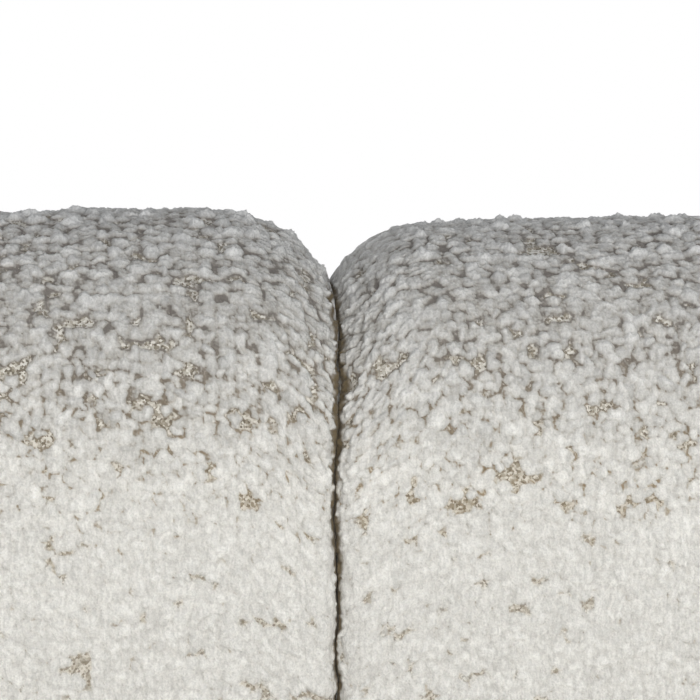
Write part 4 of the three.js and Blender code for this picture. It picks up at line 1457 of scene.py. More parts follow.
@dataclass
class BackSections:
    """The two fat sections of the back, pressed together along the groove that the photograph shows.

    The tighter and the slacker section each have a height and an inner end of their own.
    """

    half_width: float = 835.0
    gap: float = 0.3
    thickness: float = 235.0
    rear_line: float = 450.0
    foot: float = 120.0
    front_radius: float = 112.0
    rear_radius: float = 95.0
    foot_radius: float = 14.0
    outer_end: EndRound = EndRound(26.0, 86.0, edge_sweep=56.0, shoulder_sweep=56.0, top_fall=4.0)
    tighter: tuple[float, EndRound] = (
        637.7, EndRound(26.0, 83.4, edge_sweep=58.0, shoulder_sweep=52.6, top_fall=4.8)
    )
    slacker: tuple[float, EndRound] = (
        629.9, EndRound(26.0, 76.6, edge_sweep=58.0, shoulder_sweep=59.6, top_fall=5.8)
    )
    crown: float = 9.0
    spacing: float = 4.8
    split: int = 6

    def form(self, side: Side) -> PaddedForm:
        """The left section is the tighter; the right one has sunk a little more and turns in more slackly.

        Args:
            side: which half.

        Returns:
            The section's form.
        """
        height, inner = self.tighter if side is Side.LEFT else self.slacker
        low, high = (self.outer_end, inner) if side is Side.LEFT else (inner, self.outer_end)
        return PaddedForm(
            length=self.half_width - 0.6 - self.gap,
            thickness=self.thickness,
            height=height,
            front_top_radius=self.front_radius,
            rear_top_radius=self.rear_radius,
            foot_radius=self.foot_radius,
            low_end=low,
            high_end=high,
            front_crown=self.crown,
            rear_crown=self.crown,
            knots=16.0,
        )

    def window(self, side: Side, length: float) -> Window:
        """What the photograph shows of a section: its upper front and its top, near the groove.

        Args:
            side: which half.
            length: the section's own length.

        Returns:
            The window.
        """
        half = length / 2
        along = (half - 226.0, half) if side is Side.LEFT else (-half, -half + 246.0)
        return Window(along, (2.8, 5.4), self.split)

    def build(self, side: Side, cloth: bpy.types.Material) -> bpy.types.Object:
        """One section.

        Args:
            side: which half.
            cloth: the boucle.

        Returns:
            The section's piece.
        """
        form = self.form(side)
        left = side is Side.LEFT
        surface = PadSurface(
            form,
            self.spacing,
            salt=100 + 7 * side.value,
            window=self.window(side, form.length),
            seam_end=1 if left else -1,
            sink=3.4 if left else 0.0,
            panel=(26.0, 96.0, 40.0),
        )
        mesh = surface.build(None if left else self.rubbed)
        middle = side.value * (self.gap + form.length / 2)
        mesh = mesh.placed((middle, self.rear_line - self.thickness / 2, self.foot))
        limits = sorted((side.value * self.gap * 0.5, side.value * self.half_width))
        mesh.points[:, 0] = np.clip(mesh.points[:, 0], *limits)
        mesh.points[:, 0] += self.waver(mesh.points)
        mesh.points[:, 2] -= self.dip(mesh.points)
        mesh.points[:, 2] = SeatBase().hem(mesh.points, self.foot)
        piece = mesh.to_object("back_section_" + side.word, cloth)
        return settle(piece, "boucle", Body.SOFA, "back_pad_" + side.word)

    def waver(self, points: np.ndarray) -> np.ndarray:
        """How far the groove leans and wavers sideways, in mm, the same for both sections.

        Formula: a lean that turns from one hand to the other down the groove, plus two soft noises of the
        height, all times exp(-(x/30)^2).

        Args:
            points: the section's points, in their place.

        Returns:
            The move along X of each.
        """
        level = points[:, 2] - self.foot
        lean = 1.6 - 4.1 * smooth(610.0, 440.0, level) + 2.5 * smooth(420.0, 250.0, level)
        slow = soft_noise(level / 38.0, 0.0 * level, 171) - 0.5
        quick = soft_noise(level / 12.0, 0.0 * level, 172) - 0.5
        return (lean + 3.0 * slow + 1.8 * quick) * np.exp(-((points[:, 0] / 30.0) ** 2))

    def dip(self, points: np.ndarray) -> np.ndarray:
        """How far the left section's top has sunk, in mm: 3.8 exp(-((x + 215) / 55)^2), fading out lower down."""
        hollow = np.exp(-(((points[:, 0] + 215.0) / 55.0) ** 2))
        return 3.8 * hollow * smooth(520.0, 637.0, points[:, 2] - self.foot)

    @staticmethod
    def rubbed(points: np.ndarray, s: np.ndarray, t: np.ndarray) -> np.ndarray:
        """How flat the pile lies on the right section's inner shoulder, where the cloth is stretched smooth."""
        return 0.9 * smooth(70.0, 20.0, s) * smooth(600.0, 622.0, points[..., 2])


@dataclass
class Arms:
    """The two arm pads: upright, as high as the back, fat and round along the top and at both ends."""

    axis: float = 937.5
    length: float = 900.0
    thickness: float = 205.0
    height: float = 640.0
    foot: float = 120.0
    top_radius: float = 92.0
    end: EndRound = EndRound(46.0, 88.0, edge_sweep=77.0, shoulder_sweep=90.0, dome=7.0, top_fall=4.0)
    crown: float = 6.0
    spacing: float = 4.8

    def build(self, side: Side, cloth: bpy.types.Material) -> bpy.types.Object:
        """One arm pad.

        Args:
            side: which half.
            cloth: the boucle.

        Returns:
            The pad's piece.
        """
        form = PaddedForm(
            length=self.length,
            thickness=self.thickness,
            height=self.height,
            front_top_radius=self.top_radius,
            rear_top_radius=self.top_radius,
            foot_radius=14.0,
            low_end=self.end,
            high_end=self.end,
            front_crown=self.crown,
            rear_crown=self.crown,
        )
        surface = PadSurface(
            form,
            self.spacing,
            salt=300 + side.value,
            openness=0.6,
            panel=(42.0, 92.0, 50.0),
            panel_face=-side.value,
        )
        mesh = surface.build().placed((side.value * self.axis, 0.0, self.foot), quarter_turn=True)
        inner = side.value * mesh.points[:, 0]
        mesh.points[:, 0] = side.value * np.maximum(inner, self.axis - self.thickness / 2)
        mesh.points[:, 2] = SeatBase().hem(mesh.points, self.foot)
        piece = mesh.to_object("arm_" + side.word, cloth)
        return settle(piece, "boucle", Body.SOFA, "arm_pad_" + side.word)


@dataclass
class Border:
    """The padded band across the front of the seat's base, under the cushions and between the arms."""

    length: float = 1668.8
    thickness: float = 44.0
    height: float = 173.4
    middle: float = -422.0
    foot: float = 120.0
    radius: float = 18.0
    end_radius: float = 7.0
    tuck: float = 11.0
    crown: float = 5.0
    spacing: float = 4.6

    def build(self, cloth: bpy.types.Material) -> bpy.types.Object:
        """The band.

        Args:
            cloth: the boucle.

        Returns:
            The band's piece.
        """
        end = EndRound(self.end_radius, self.end_radius, 70.0, 70.0)
        form = PaddedForm(
            length=self.length + 2 * self.tuck,
            thickness=self.thickness,
            height=self.height,
            front_top_radius=self.radius,
            rear_top_radius=self.radius,
            foot_radius=5.0,
            low_end=end,
            high_end=end,
            front_crown=self.crown,
        )
        mesh = PadSurface(form, self.spacing, salt=350, unevenness=0.5, openness=0.8).build()
        mesh = mesh.placed((0.0, self.middle, self.foot))
        half = self.length / 2 + self.tuck
        mesh.points[:, 0] = np.clip(mesh.points[:, 0], -half, half)
        mesh.points[:, 1] = np.minimum(mesh.points[:, 1], self.middle + self.thickness / 2)
        mesh.points[:, 2] = np.clip(mesh.points[:, 2], self.foot, self.foot + self.height)
        piece = mesh.to_object("seat_border", cloth)
        return settle(piece, "boucle", Body.SOFA, "front_border")


@dataclass
class SeatCushion:
    """A loose seat cushion: a cover blown out over its foam, a foam core, and a zip across its rear face."""

    gap: float = 0.3
    length: float = 834.1
    depth: float = 656.4
    middle: float = -113.8
    foot: float = 294.0
    edge_height: float = 128.0
    crown: float = 28.0
    front_crown: float = 6.0
    corner_radius: float = 40.0
    slack: float = 3.0
    cap: float = 24.0
    edge_cap: float = 6.0
    give: float = 2.0
    slip: float = 3.0
    pressure: float = 4.0
    grid: float = 15.0
    seam_levels: tuple[float, float] = (20.0, 108.0)
    seam_depth: float = 3.0
    seam_shade: float = 0.95
    openness: float = 0.8
    slow_lumps: float = 4.0
    clump_lumps: float = 1.8
    clump: float = 6.4
    spill: float = 4.0
    zip_level: float = 64.0
    zip_half: float = 303.0
    slot_depth: float = 6.4
    slot_reach: float = 8.0
    core_inset: float = 11.0
    tooth_pitch: float = 2.4
    frames: int = 20

    @property
    def rear(self) -> float:
        """Where the rear face lies."""
        return self.middle + self.depth / 2

    def centre(self, side: Side) -> float:
        """Where the middle of this side's cushion lies."""
        return side.value * (self.gap + self.length / 2)

    def form(self, inset: float, crown: float) -> PaddedForm:
        """The cushion's form.

        Args:
            inset: how far it is drawn in on every side, in mm.
            crown: how far the top bows up.

        Returns:
            The form.
        """
        end = EndRound(self.corner_radius - 2.0, self.corner_radius - 2.0)
        return PaddedForm(
            length=self.length - 2 * inset,
            thickness=self.depth - 2 * inset,
            height=self.edge_height + crown - 2 * inset,
            front_top_radius=self.corner_radius,
            rear_top_radius=self.corner_radius,
            foot_radius=self.corner_radius,
            low_end=end,
            high_end=end,
            front_crown=self.front_crown,
            top_crown=crown,
            foot_flat=False,
        )

    def blown(self, piece: bpy.types.Object) -> None:
        """Fills the piece by cloth simulation: pressure from inside and no gravity.

        A point then moves out by no more than its cap, which is small on the sides and large on the wide faces,
        in by no more than the foam gives, and sideways by no more than the slip.

        Args:
            piece: the slack cover. Its mesh is exchanged for the filled one.
        """
        count = len(piece.data.vertices) * 3
        before = np.empty(count)
        piece.data.vertices.foreach_get("co", before)
        filling = piece.modifiers.new("filling", "CLOTH")
        settings = filling.settings
        settings.quality = 5
        settings.mass = 0.4
        settings.use_pressure = True
        settings.uniform_pressure_force = self.pressure
        settings.effector_weights.gravity = 0.0
        settings.tension_stiffness = settings.compression_stiffness = 12.0
        settings.bending_stiffness = 3.0
        filling.collision_settings.use_collision = False
        scene = bpy.context.scene
        for number in range(1, self.frames + 1):
            scene.frame_set(number)
        shown = piece.evaluated_get(bpy.context.evaluated_depsgraph_get())
        after = np.empty(count)
        shown.data.vertices.foreach_get("co", after)
        piece.modifiers.remove(filling)
        scene.frame_set(1)
        normal = np.empty(count)
        piece.data.vertices.foreach_get("normal", normal)
        normal = normal.reshape(-1, 3)
        move = (after - before).reshape(-1, 3)
        outward = np.sum(move * normal, axis=1, keepdims=True)
        cap = self.edge_cap + (self.cap - self.edge_cap) * smooth(0.7, 0.99, np.abs(normal[:, 2:]))
        held = np.clip(outward, -self.give * MM, cap * MM)
        slide = move - outward * normal
        slide *= np.minimum(1.0, self.slip * MM / np.maximum(np.linalg.norm(slide, axis=1, keepdims=True), 1e-9))
        move = slide + held * normal
        piece.data.vertices.foreach_set("co", before + move.ravel())

    def smoothed(self, piece: bpy.types.Object) -> None:
        """Subdivides the piece twice, and keeps the result as its own mesh.

        Args:
            piece: the cover. Its mesh is exchanged for the finer one.
        """
        finer = piece.modifiers.new("finer", "SUBSURF")
        finer.levels = finer.render_levels = 2
        graph = bpy.context.evaluated_depsgraph_get()
        shown = piece.evaluated_get(graph)
        made = bpy.data.meshes.new_from_object(shown, preserve_all_data_layers=True, depsgraph=graph)
        piece.modifiers.remove(finer)
        old = piece.data
        piece.data = made
        bpy.data.meshes.remove(old)
        made.name = piece.name

    def sewn(self, piece: bpy.types.Object, side: Side) -> None:
        """Draws in the seams round the sides, opens the zip's slot, and gives the cloth its clumps.

        Formula: a point moves in along its normal by the seam's depth times exp(-(d/4)^2), with d its height
        from the seam, and out by two soft noises, one slow and one of a clump's size. Points beyond the
        cushion's space are put back onto it.

        Args:
            piece: the filled cover.
            side: which half.
        """
        data = piece.data
        count = len(data.vertices)
        place, normal, rise = np.empty(count * 3), np.empty(count * 3), np.empty(count)
        data.vertices.foreach_get("co", place)
        data.vertices.foreach_get("normal", normal)
        data.attributes["rise"].data.foreach_get("value", rise)
        place, normal = place.reshape(-1, 3) / MM, normal.reshape(-1, 3)
        seams = [np.abs(rise - level) for level in self.seam_levels]
        near = np.minimum(seams[0], seams[1])
        push = -self.seam_depth * drawn_by_seam(near)
        wide = soft_noise(place[:, 0] / 95.0, place[:, 1] / 80.0 + place[:, 2] / 60.0, 410 + side.value)
        sheared = (place[:, 0] + 0.7 * place[:, 2], place[:, 1] - 0.7 * place[:, 2])
        clump = soft_noise(*(way / self.clump for way in sheared), 420 + side.value)
        push += self.slow_lumps * (wide - 0.5) + self.clump_lumps * (clump - 0.5)
        place += normal * push[:, None]
        low = self.gap if side is Side.RIGHT else -self.gap - self.length
        place[:, 0] = np.clip(place[:, 0], low, low + self.length)
        place[:, 1] = np.clip(place[:, 1], self.middle - self.depth / 2 - self.spill, self.rear)
        place[:, 2] = np.clip(place[:, 2], self.foot, self.foot + self.edge_height + self.crown + self.spill)
        over = np.maximum(np.abs(place[:, 0] - self.centre(side)) - self.zip_half, 0.0)
        slot = np.exp(-((np.hypot(over, place[:, 2] - self.foot - self.zip_level) / self.slot_reach) ** 4))
        in_slot = (normal[:, 1] > 0.4) & (slot > 0.02)
        place[in_slot, 1] = np.minimum(place[in_slot, 1], self.rear - self.slot_depth * slot[in_slot])
        data.vertices.foreach_set("co", (place * MM).ravel())
        shade = self.seam_shade * shade_by_seam(near)
        for name, values in (("seam", shade), ("open", np.full(count, self.openness))):
            data.attributes.new(name, "FLOAT", "POINT").data.foreach_set("value", values.astype(np.float32))
        data.update()

    def cover(self, side: Side, cloth: bpy.types.Material) -> bpy.types.Object:
        """The cover: a slack form on an even grid, blown out, smoothed and sewn.

        Args:
            side: which half.
            cloth: the boucle.

        Returns:
            The cover's piece.
        """
        inset, crown = ((self.slack, 12.0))
        form = self.form(inset, crown)
        stations, ring = form.stations(self.grid), form.ring(self.grid)
        points = form.surface(stations, ring)
        ids, flat = numbered(points), points.reshape(-1, 3)
        ends = np.concatenate([ids[0], ids[-1]])
        mesh = Mesh(flat, [grid_cells(ids, True)], {"rise": flat[:, 2] + inset}, ends)
        mesh = mesh.placed((self.centre(side), self.middle, self.foot + inset))
        piece = mesh.to_object("cushion_cover_boucle_" + side.word, cloth)
        self.blown(piece)
        self.smoothed(piece)
        self.sewn(piece, side)
        return settle(piece, "boucle", self.body(side), "cushion_cover_" + side.word)

    def core(self, side: Side, foam: bpy.types.Material) -> bpy.types.Object:
        """The foam core inside the cover, cut to the same form.

        Args:
            side: which half.
            foam: the foam.

        Returns:
            The core's piece.
        """
        form = self.form(self.core_inset, self.crown - 6.0)
        mesh = PadSurface(form, 12.0, salt=380 + side.value, unevenness=0.3).build()
        mesh = mesh.placed((self.centre(side), self.middle, self.foot + self.core_inset))
        piece = mesh.to_object("cushion_foam_" + side.word, foam)
        return settle(piece, "seat_foam", self.body(side), "cushion_core_" + side.word)

    def closure(self, side: Side, tape: bpy.types.Material) -> bpy.types.Object:
        """The zip: two woven tapes, a coil of teeth between them, and a slider with its pull.

        Formula: a tape is a thin sheet that ripples by 0.25 mm times a cosine across it, and by soft noise.

        Args:
            side: which half.
            tape: the woven tape.

        Returns:
            The zip's piece.
        """
        centre, level, half = self.centre(side), self.foot + self.zip_level, self.zip_half - 3.0
        mesh = self.teeth(centre, level, half).joined(self.slider(centre + half - 26.0, level))
        for sign in (1, -1):
            across = np.array([0.9, 2.0, 3.4, 4.7]) * sign
            x, z = np.meshgrid(np.linspace(-half, half, 121), across, indexing="ij")
            ripple = 0.25 * np.cos(z * 1.2) + 0.2 * (soft_noise(x / 9.0, z / 3.0, 31) - 0.5)
            front = np.stack([x + centre, self.rear - 4.6 + ripple, z + level], axis=2)
            back = front - np.array([0.0, 0.5, 0.0])
            sheet = shell(np.concatenate([front, back[:, ::-1]], axis=1), turned=sign < 0)
            mesh = sheet.joined(mesh)
        piece = mesh.to_object("cushion_zipper_" + side.word, tape)
        return settle(piece, "zip_tape", self.body(side), "cushion_zip_" + side.word)

    def teeth(self, centre: float, level: float, half: float) -> Mesh:
        """The closed coil: short rounded bars across the tapes' inner edges.

        Formula: a bar's slice is an octagon 1.5 mm wide and 1.6 mm deep, and its ends taper to 0.6 of that.

        Args:
            centre: where the zip's middle lies along X.
            level: its height.
            half: half its length.

        Returns:
            The bars.
        """
        number = int(2 * half / self.tooth_pitch)
        middles = (np.arange(number) - (number - 1) / 2) * self.tooth_pitch
        across = np.array([-2.2, -1.6, 1.6, 2.2])
        size = np.array([0.6, 1.0, 1.0, 0.6])[None, :, None]
        turn = np.arange(8) * math.pi / 4
        x = middles[:, None, None] + 0.75 * size * np.cos(turn)[None, None]
        y = self.rear - 3.4 + 0.8 * size * np.sin(turn)[None, None] + 0.0 * x
        z = across[None, :, None] + 0.0 * x
        return shell(np.stack([x + centre, y, z + level], axis=3))

    def slider(self, at: float, level: float) -> Mesh:
        """The slider and its hanging pull.

        Formula: each is a superellipse |x/a|^4 + |z/b|^4 = 1 whose slices shrink towards front and back.

        Args:
            at: where it stands along X.
            level: its height.

        Returns:
            The two shells.
        """
        turn = np.arange(24) * math.pi / 12
        shape = np.abs(np.cos(turn)) ** 4 + np.abs(np.sin(turn)) ** 4
        unit = np.stack([np.cos(turn), np.sin(turn)], axis=1) / shape[:, None] ** 0.25
        sizes = np.array([0.86, 1.0, 1.0, 0.86])[:, None]
        parts = []
        for halves, middle, depths in (
            ((7.0, 4.0), 0.0, (-3.4, -2.6, -2.0, -1.4)),
            ((2.2, 9.0), -9.5, (-1.3, -1.0, -0.5, -0.2)),
        ):
            x = at + sizes * halves[0] * unit[:, 0]
            z = level + middle + sizes * halves[1] * unit[:, 1]
            y = self.rear + np.array(depths)[:, None] + 0.0 * x
            parts.append(shell(np.stack([x, y, z], axis=2), turned=True))
        return parts[0].joined(parts[1])

    @staticmethod
    def body(side: Side) -> Body:
        """The body that this side's cushion pieces ride on."""
        return Body.LEFT_CUSHION if side is Side.LEFT else Body.RIGHT_CUSHION


@dataclass
class SeatBase:
    """The decking over the springs, the dust cloth under the frame, and its staples."""

    half_width: float = 884.7
    front: float = -399.4
    rear: float = 296.7
    deck_foot: float = 259.4
    deck_height: float = 34.0
    arch: float = 14.0
    rail: float = 28.0
    dust_level: float = 120.8
    staple_pitch: float = 48.0
    staple_inset: float = 9.0
    staple_radius: float = 0.45
    fold: float = 1.8
    lap: float = 2.6

    def hem(self, points: np.ndarray, foot: float) -> np.ndarray:
        """The heights of a pad's points once its cloth is folded under its frame and over the base's edge.

        Formula: the lowest 14 mm sink by up to the fold, and nothing lies lower. Within the base's outline,
        where the dust cloth lies under the pad, nothing is lower than the lap above the foot.

        Args:
            points: the pad's points, in their place.
            foot: the height of its underside.

        Returns:
            The new heights.
        """
        level = points[:, 2] - self.fold * smooth(14.0, 2.0, points[:, 2] - foot)
        level = np.maximum(level, foot - self.fold)
        inside = (np.abs(points[:, 0]) < self.half_width + 1.3) & (points[:, 1] > self.front - 1.6)
        inside &= points[:, 1] < self.rear + 1.3
        return np.where(inside, np.maximum(level, foot + self.lap), level)

    def deck(self, cloth: bpy.types.Material) -> bpy.types.Object:
        """The decking: a flat felt-and-foam layer, hollowed underneath where the springs arch up into it.

        Formula: the underside rises by the arch times 1 - (2y/d - 1)^2 between the rails, and the top stays.

        Args:
            cloth: the decking cloth.

        Returns:
            The decking's piece.
        """
        end = EndRound(10.0, 6.0)
        form = PaddedForm(
            length=2 * self.half_width,
            thickness=self.rear - self.front,
            height=self.deck_height,
            front_top_radius=8.0,
            rear_top_radius=8.0,
            foot_radius=4.0,
            low_end=end,
            high_end=end,
            knots=36.0,
        )
        mesh = PadSurface(form, 11.0, salt=510, unevenness=0.35).build()
        mesh = mesh.placed((0.0, (self.front + self.rear) / 2, self.deck_foot))
        reach = (mesh.points[:, 1] - self.front - self.rail) / (self.rear - self.front - 2 * self.rail)
        rise = self.arch * np.maximum(1.0 - (2.0 * reach - 1.0) ** 2, 0.0)
        share = 1.0 - np.clip((mesh.points[:, 2] - self.deck_foot) / self.deck_height, 0.0, 1.0)
        mesh.points[:, 2] = np.maximum(mesh.points[:, 2], self.deck_foot) + rise * share
        mesh.points[:, 2] = np.minimum(mesh.points[:, 2], self.deck_foot + self.deck_height)
        piece = mesh.to_object("seat_decking", cloth)
        return settle(piece, "deck_cloth", Body.SOFA, "seat_deck")

    def dust_cloth(self, cloth: bpy.types.Material) -> bpy.types.Object:
        """The dust cloth, stretched under the frame.

        Formula: it hangs down by up to 0.6 mm between its staples, as a product of two half sine waves.

        Args:
            cloth: the dust cloth.

        Returns:
            The cloth's piece.
        """
        x, y = np.meshgrid(
            np.linspace(-self.half_width + 2, self.half_width - 2, 181),
            np.linspace(self.front + 2, self.rear - 2, 71),
            indexing="ij",
        )
        sag = np.abs(np.sin(math.pi * x / 590.0)) * np.sin(math.pi * (y - self.front) / (self.rear - self.front))
        pucker = soft_noise(x / 30.0, y / 24.0, 71) - 0.5
        points = np.stack([x, y, self.dust_level - 0.6 * sag + 0.3 * pucker], axis=2)
        piece = Mesh(points.reshape(-1, 3), [grid_cells(numbered(points), False)]).to_object("dust_cloth", cloth)
        thick = piece.modifiers.new("thickness", "SOLIDIFY")
        thick.thickness = 0.0004
        thick.offset = 0.0
        return settle(piece, "cambric", Body.SOFA, "dust_cover")

    def staples(self, metal: bpy.types.Material) -> bpy.types.Object:
        """The staples along the dust cloth's edges: flat bridges of wire, 10 mm wide, with bent-in ends.

        Formula: a six-sided round, 0.9 mm across, is carried along a staple's profile, once for each place.

        Args:
            metal: the staple wire.

        Returns:
            The staples, as one piece.
        """
        wide = np.arange(-self.half_width + 30, self.half_width - 29, self.staple_pitch)
        deep = np.arange(self.front + 30, self.rear - 29, self.staple_pitch)
        inset = self.staple_inset
        spots = [(x, y, 0.0) for x in wide for y in (self.front + inset, self.rear - inset)]
        spots += [(x, y, 1.0) for y in deep for x in (-self.half_width + inset, self.half_width - inset)]
        at = np.array(spots)[:, :, None, None]
        profile = np.array([[-5.0, 1.4], [-5.0, 0.2], [-4.4, -0.3], [4.4, -0.3], [5.0, 0.2], [5.0, 1.4]])
        turn = np.arange(6) * math.pi / 3
        ahead = np.gradient(profile, axis=0)
        ahead /= np.linalg.norm(ahead, axis=1, keepdims=True)
        run = profile[:, 0, None] - self.staple_radius * ahead[:, 1, None] * np.cos(turn)
        rise = profile[:, 1, None] + self.staple_radius * ahead[:, 0, None] * np.cos(turn)
        across = 0.0 * run + self.staple_radius * np.sin(turn)
        x = at[:, 0] + np.where(at[:, 2] > 0, across, run)
        y = at[:, 1] + np.where(at[:, 2] > 0, run, across)
        z = self.dust_level - 0.5 + np.broadcast_to(rise, x.shape)
        piece = shell(np.stack([x, y, z], axis=3)).to_object("dust_cloth_staples", metal)
        return settle(faced_out(piece), "zinc_steel", Body.SOFA)


@dataclass
class SinuousSprings:
    """Eight sinuous springs: straight bars of 4 mm wire joined by U-turns, arched, and clipped to the rails."""

    first_bar: float = -385.4
    span: float = 668.1
    bars: int = 13
    width: float = 52.0
    arch: float = 14.0
    wire: float = 4.0
    level: float = 255.6
    bay_start: float = 31.0
    bay_pitch: float = 206.425
    sheet: float = 1.5
    clip_width: float = 20.0
    tail: float = 12.0

    def line(self) -> np.ndarray:
        """The wire's middle line.

        Formula: bars lie across at an even pitch, and a half circle of half that pitch joins each to the next,
        on alternate sides. The line rises by the arch times 1 - (2y/span - 1)^2.

        Returns:
            Rows of points in mm, with the first bar at y = 0.
        """
        pitch = self.span / self.bars
        radius = pitch / 2
        reach = self.width / 2 - radius
        number = np.arange(self.bars)
        hand = np.where(number % 2 == 0, 1.0, -1.0)[:, None]
        angle = np.linspace(0.0, math.pi, 13)[None]
        x = hand * (reach + radius * np.sin(angle))
        y = number[:, None] * pitch + radius * (1.0 - np.cos(angle))
        straight = hand * np.linspace(-reach, reach, 3)[None, :-1]
        rows_x = np.concatenate([straight, x], axis=1).ravel()
        rows_y = np.concatenate([np.repeat(number[:, None] * pitch, 2, axis=1), y], axis=1).ravel()
        last = 1.0 if self.bars % 2 else -1.0
        rows_x = np.concatenate([rows_x, [0.0, -last * reach]])
        rows_y = np.concatenate([rows_y, [self.span, self.span]])
        height = self.arch * (1.0 - (2.0 * rows_y / self.span - 1.0) ** 2)
        points = np.stack([rows_x, rows_y, height], axis=1)
        keep = np.concatenate([[True], np.linalg.norm(np.diff(points, axis=0), axis=1) > 0.01])
        return points[keep]

    def tube(self, line: np.ndarray, sides: int = 10) -> Mesh:
        """A round wire along a line that lies near one level, closed at both ends.

        Args:
            line: the wire's middle line, rows of points in mm.
            sides: how many sides its round has.

        Returns:
            The wire.
        """
        ahead = np.gradient(line, axis=0)
        ahead /= np.linalg.norm(ahead, axis=1, keepdims=True)
        across = np.cross(ahead, np.array([0.0, 0.0, 1.0]))
        across /= np.linalg.norm(across, axis=1, keepdims=True)
        up = np.cross(across, ahead)
        turn = (2 * math.pi * np.arange(sides) / sides)[None, :, None]
        rim = line[:, None] + self.wire / 2 * (across[:, None] * np.cos(turn) + up[:, None] * np.sin(turn))
        return shell(rim, turned=True)

    def clip(self, y: float, outward: int) -> Mesh:
        """A clip of bent strip: its tail lies on the rail, and it folds over the end bar.

        Formula: an outline of the strip's two sides, carried across the clip's width.

        Args:
            y: where its bar lies.
            outward: which way its tail points, 1 or -1 along Y.

        Returns:
            The clip.
        """
        outer = self.wire / 2 + self.sheet
        angle = np.linspace(0.0, 1.5 * math.pi, 19)
        round_out = np.stack([np.cos(angle), np.sin(angle)], axis=1) * outer
        round_in = np.stack([np.cos(angle[::-1]), np.sin(angle[::-1])], axis=1) * (outer - self.sheet + 0.1)
        tail = [[self.tail, -outer], [self.tail, self.sheet - outer], [0.4, self.sheet - outer]]
        strip = np.concatenate([round_out, tail, round_in[1:]], axis=0)
        across = np.array([-0.5, -0.46, 0.46, 0.5]) * self.clip_width
        x = np.broadcast_to(across[:, None], (4, len(strip)))
        return shell(np.stack([x, y + outward * strip[None, :, 0] + 0 * x, strip[None, :, 1] + 0 * x], axis=2))

    def build(self, side: Side, steel: bpy.types.Material) -> None:
        """One side's four springs, each with its two clips.

        Args:
            side: which half.
            steel: the spring wire.
        """
        mesh = self.tube(self.line()).joined(self.clip(0.0, -1)).joined(self.clip(self.span, 1))
        for index in range(4):
            at = side.value * (self.bay_start + self.bay_pitch * (index + 0.5))
            ending = "%s_%d" % (side.word, index + 1)
            piece = mesh.placed((at, self.first_bar, self.level)).to_object("sinuous_spring_" + ending, steel)
            settle(faced_out(piece), "spring_steel", Body.SOFA, "seat_spring_" + ending)


@dataclass
class Legs:
    """Six turned, tapered legs, each with a nylon glide nailed under it."""

    arm_axis: float = 937.5
    arm_depth: float = 346.0
    centre_front: float = -321.4
    centre_rear: float = 218.7
    top_radius: float = 27.0
    foot_radius: float = 15.0
    foot: float = 6.3
    top: float = 119.7
    foot_round: float = 2.5
    rim_round: float = 1.2
    neck: float = 9.0
    glide_profile: tuple[tuple[float, float], ...] = (
        (10.4, 0.0), (11.4, 0.25), (11.9, 0.9), (12.0, 1.7), (12.0, 5.4), (11.6, 5.9), (11.0, 6.0)
    )
    sides: int = 48

    def spots(self) -> dict[str, tuple[float, float]]:
        """Where the legs stand.

        Returns:
            A place (x, y) for each ending of their nodes' names.
        """
        spots = {"front_centre": (0.0, self.centre_front), "rear_centre": (0.0, self.centre_rear)}
        for side in Side:
            spots["front_" + side.word] = (side.value * self.arm_axis, -self.arm_depth)
            spots["rear_" + side.word] = (side.value * self.arm_axis, self.arm_depth)
        return spots

    def turned(self, profile: np.ndarray) -> Mesh:
        """A profile turned about Z, closed at both ends by its own faces.

        Args:
            profile: rows of (radius, height), from the foot up.

        Returns:
            The turned shell.
        """
        angle = 2 * math.pi * np.arange(self.sides) / self.sides
        x = profile[:, 0, None] * np.cos(angle)
        y = profile[:, 0, None] * np.sin(angle)
        return shell(np.stack([x, y, np.broadcast_to(profile[:, 1, None], x.shape)], axis=2))

    def leg_profile(self) -> np.ndarray:
        """From the foot up: a small round, a straight taper, a rounded shoulder and a short cylinder.

        Returns:
            Rows of (radius, height).
        """
        bend = np.linspace(0.0, QUARTER, 5)
        toe, lip, wide = self.foot_round, self.rim_round, self.top_radius
        foot = np.stack([self.foot_radius - toe + toe * np.sin(bend), self.foot + toe - toe * np.cos(bend)], axis=1)
        start, end = foot[-1], np.array([wide, self.top - self.neck])
        taper = start + (end - start) * np.linspace(0.02, 0.94, 12)[:, None]
        shoulder = np.array([[wide - 0.35, self.top - self.neck - 3.0], [wide, self.top - self.neck - 0.5]])
        rim = np.stack([wide - lip + lip * np.cos(bend), self.top - lip + lip * np.sin(bend)], axis=1)
        return np.concatenate([foot, taper, shoulder, rim])

    def build(self, walnut: bpy.types.Material, nylon: bpy.types.Material) -> None:
        """All the legs and glides.

        Args:
            walnut: the legs' finish.
            nylon: the glides' finish.
        """
        leg, glide = self.turned(self.leg_profile()), self.turned(np.array(self.glide_profile))
        for where, (x, y) in self.spots().items():
            piece = leg.placed((x, y, 0.0)).to_object("turned_leg_" + where, walnut)
            settle(piece, "walnut", Body.SOFA, "leg_" + where)
            piece = glide.placed((x, y, 0.0)).to_object("nylon_glide_" + where, nylon)
            settle(piece, "glide_nylon", Body.SOFA, "glide_" + where)


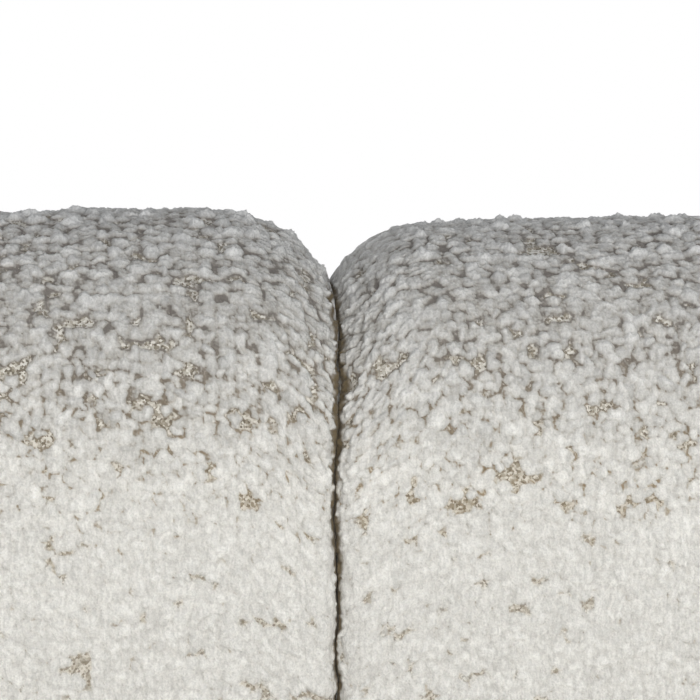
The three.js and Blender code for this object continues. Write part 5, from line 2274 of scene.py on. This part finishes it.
@dataclass
class Frame:
    """The timber and bolts, which keep their CAD shapes and get their real finishes."""

    nodes: dict[str, bpy.types.Object]

    def dress(self) -> None:
        """Gives each carried-over node its material.

        Each rule is a start of node names and the finish that those nodes take; the first that fits holds.
        """
        pine_up = Softwood(name="planed_pine_upright", grain=Axis.Z).material()
        ply_x = BirchPlywood(name="sanded_birch_plywood_long", through=Axis.Y, grain=Axis.X).material()
        ply_y = BirchPlywood(name="sanded_birch_plywood_deep", through=Axis.X, grain=Axis.Y).material()
        zinc = Steel(name="bright_zinc_plated_steel", roughness=0.3, light="#CDCFCE", dark="#A9ACAE").material()
        rules = (
            ("arm_frame", Softwood(name="planed_pine_deep", grain=Axis.Y).material()),
            ("back_frame", Softwood(name="planed_pine_long", grain=Axis.X).material()),
            ("corner_block", pine_up),
            ("front_rail", ply_x),
            ("rear_rail", ply_x),
            ("side_rail", ply_y),
            ("centre_rail", ply_y),
            ("arm_bolt", zinc),
            ("back_bolt", zinc),
            ("hanger_bolt", zinc),
        )
        for name, node in sorted(self.nodes.items()):
            for start, material in rules:
                if name.startswith(start):
                    node.data.materials.clear()
                    node.data.materials.append(material)
                    log.info("%s: %s", name, material.name)
                    break


def main() -> None:
    """Builds the sofa's pieces in order and reports each."""
    logging.basicConfig(level=logging.INFO, format="%(name)s: %(message)s")
    Studio().build()
    cloth = Boucle().material()
    decking = PlainWeave(name="plain_woven_decking_cloth").material()
    tape = PlainWeave(
        name="woven_nylon_zip_tape", thread=0.0009, light="#E2DCCF", dark="#A9A294", axes=(Axis.X, Axis.Z)
    ).material()
    zinc = Steel(name="zinc_plated_staple_wire", roughness=0.32).material()
    spring_steel = Steel(
        name="oiled_drawn_spring_steel", roughness=0.36, light="#6F7174", dark="#4C4E51"
    ).material()
    foam = SeatFoam().material()
    Frame(frame["nodes"]).dress()
    back, arms, cushion, base = BackSections(), Arms(), SeatCushion(), SeatBase()
    for side in Side:
        back.build(side, cloth)
        arms.build(side, cloth)
        cushion.cover(side, cloth)
        cushion.core(side, foam)
        cushion.closure(side, tape)
        SinuousSprings().build(side, spring_steel)
    Border().build(cloth)
    base.deck(decking)
    base.dust_cloth(DustCloth().material())
    base.staples(zinc)
    Legs().build(StainedWalnut().material(), MouldedNylon().material())


if __name__ == "__main__":
    main()
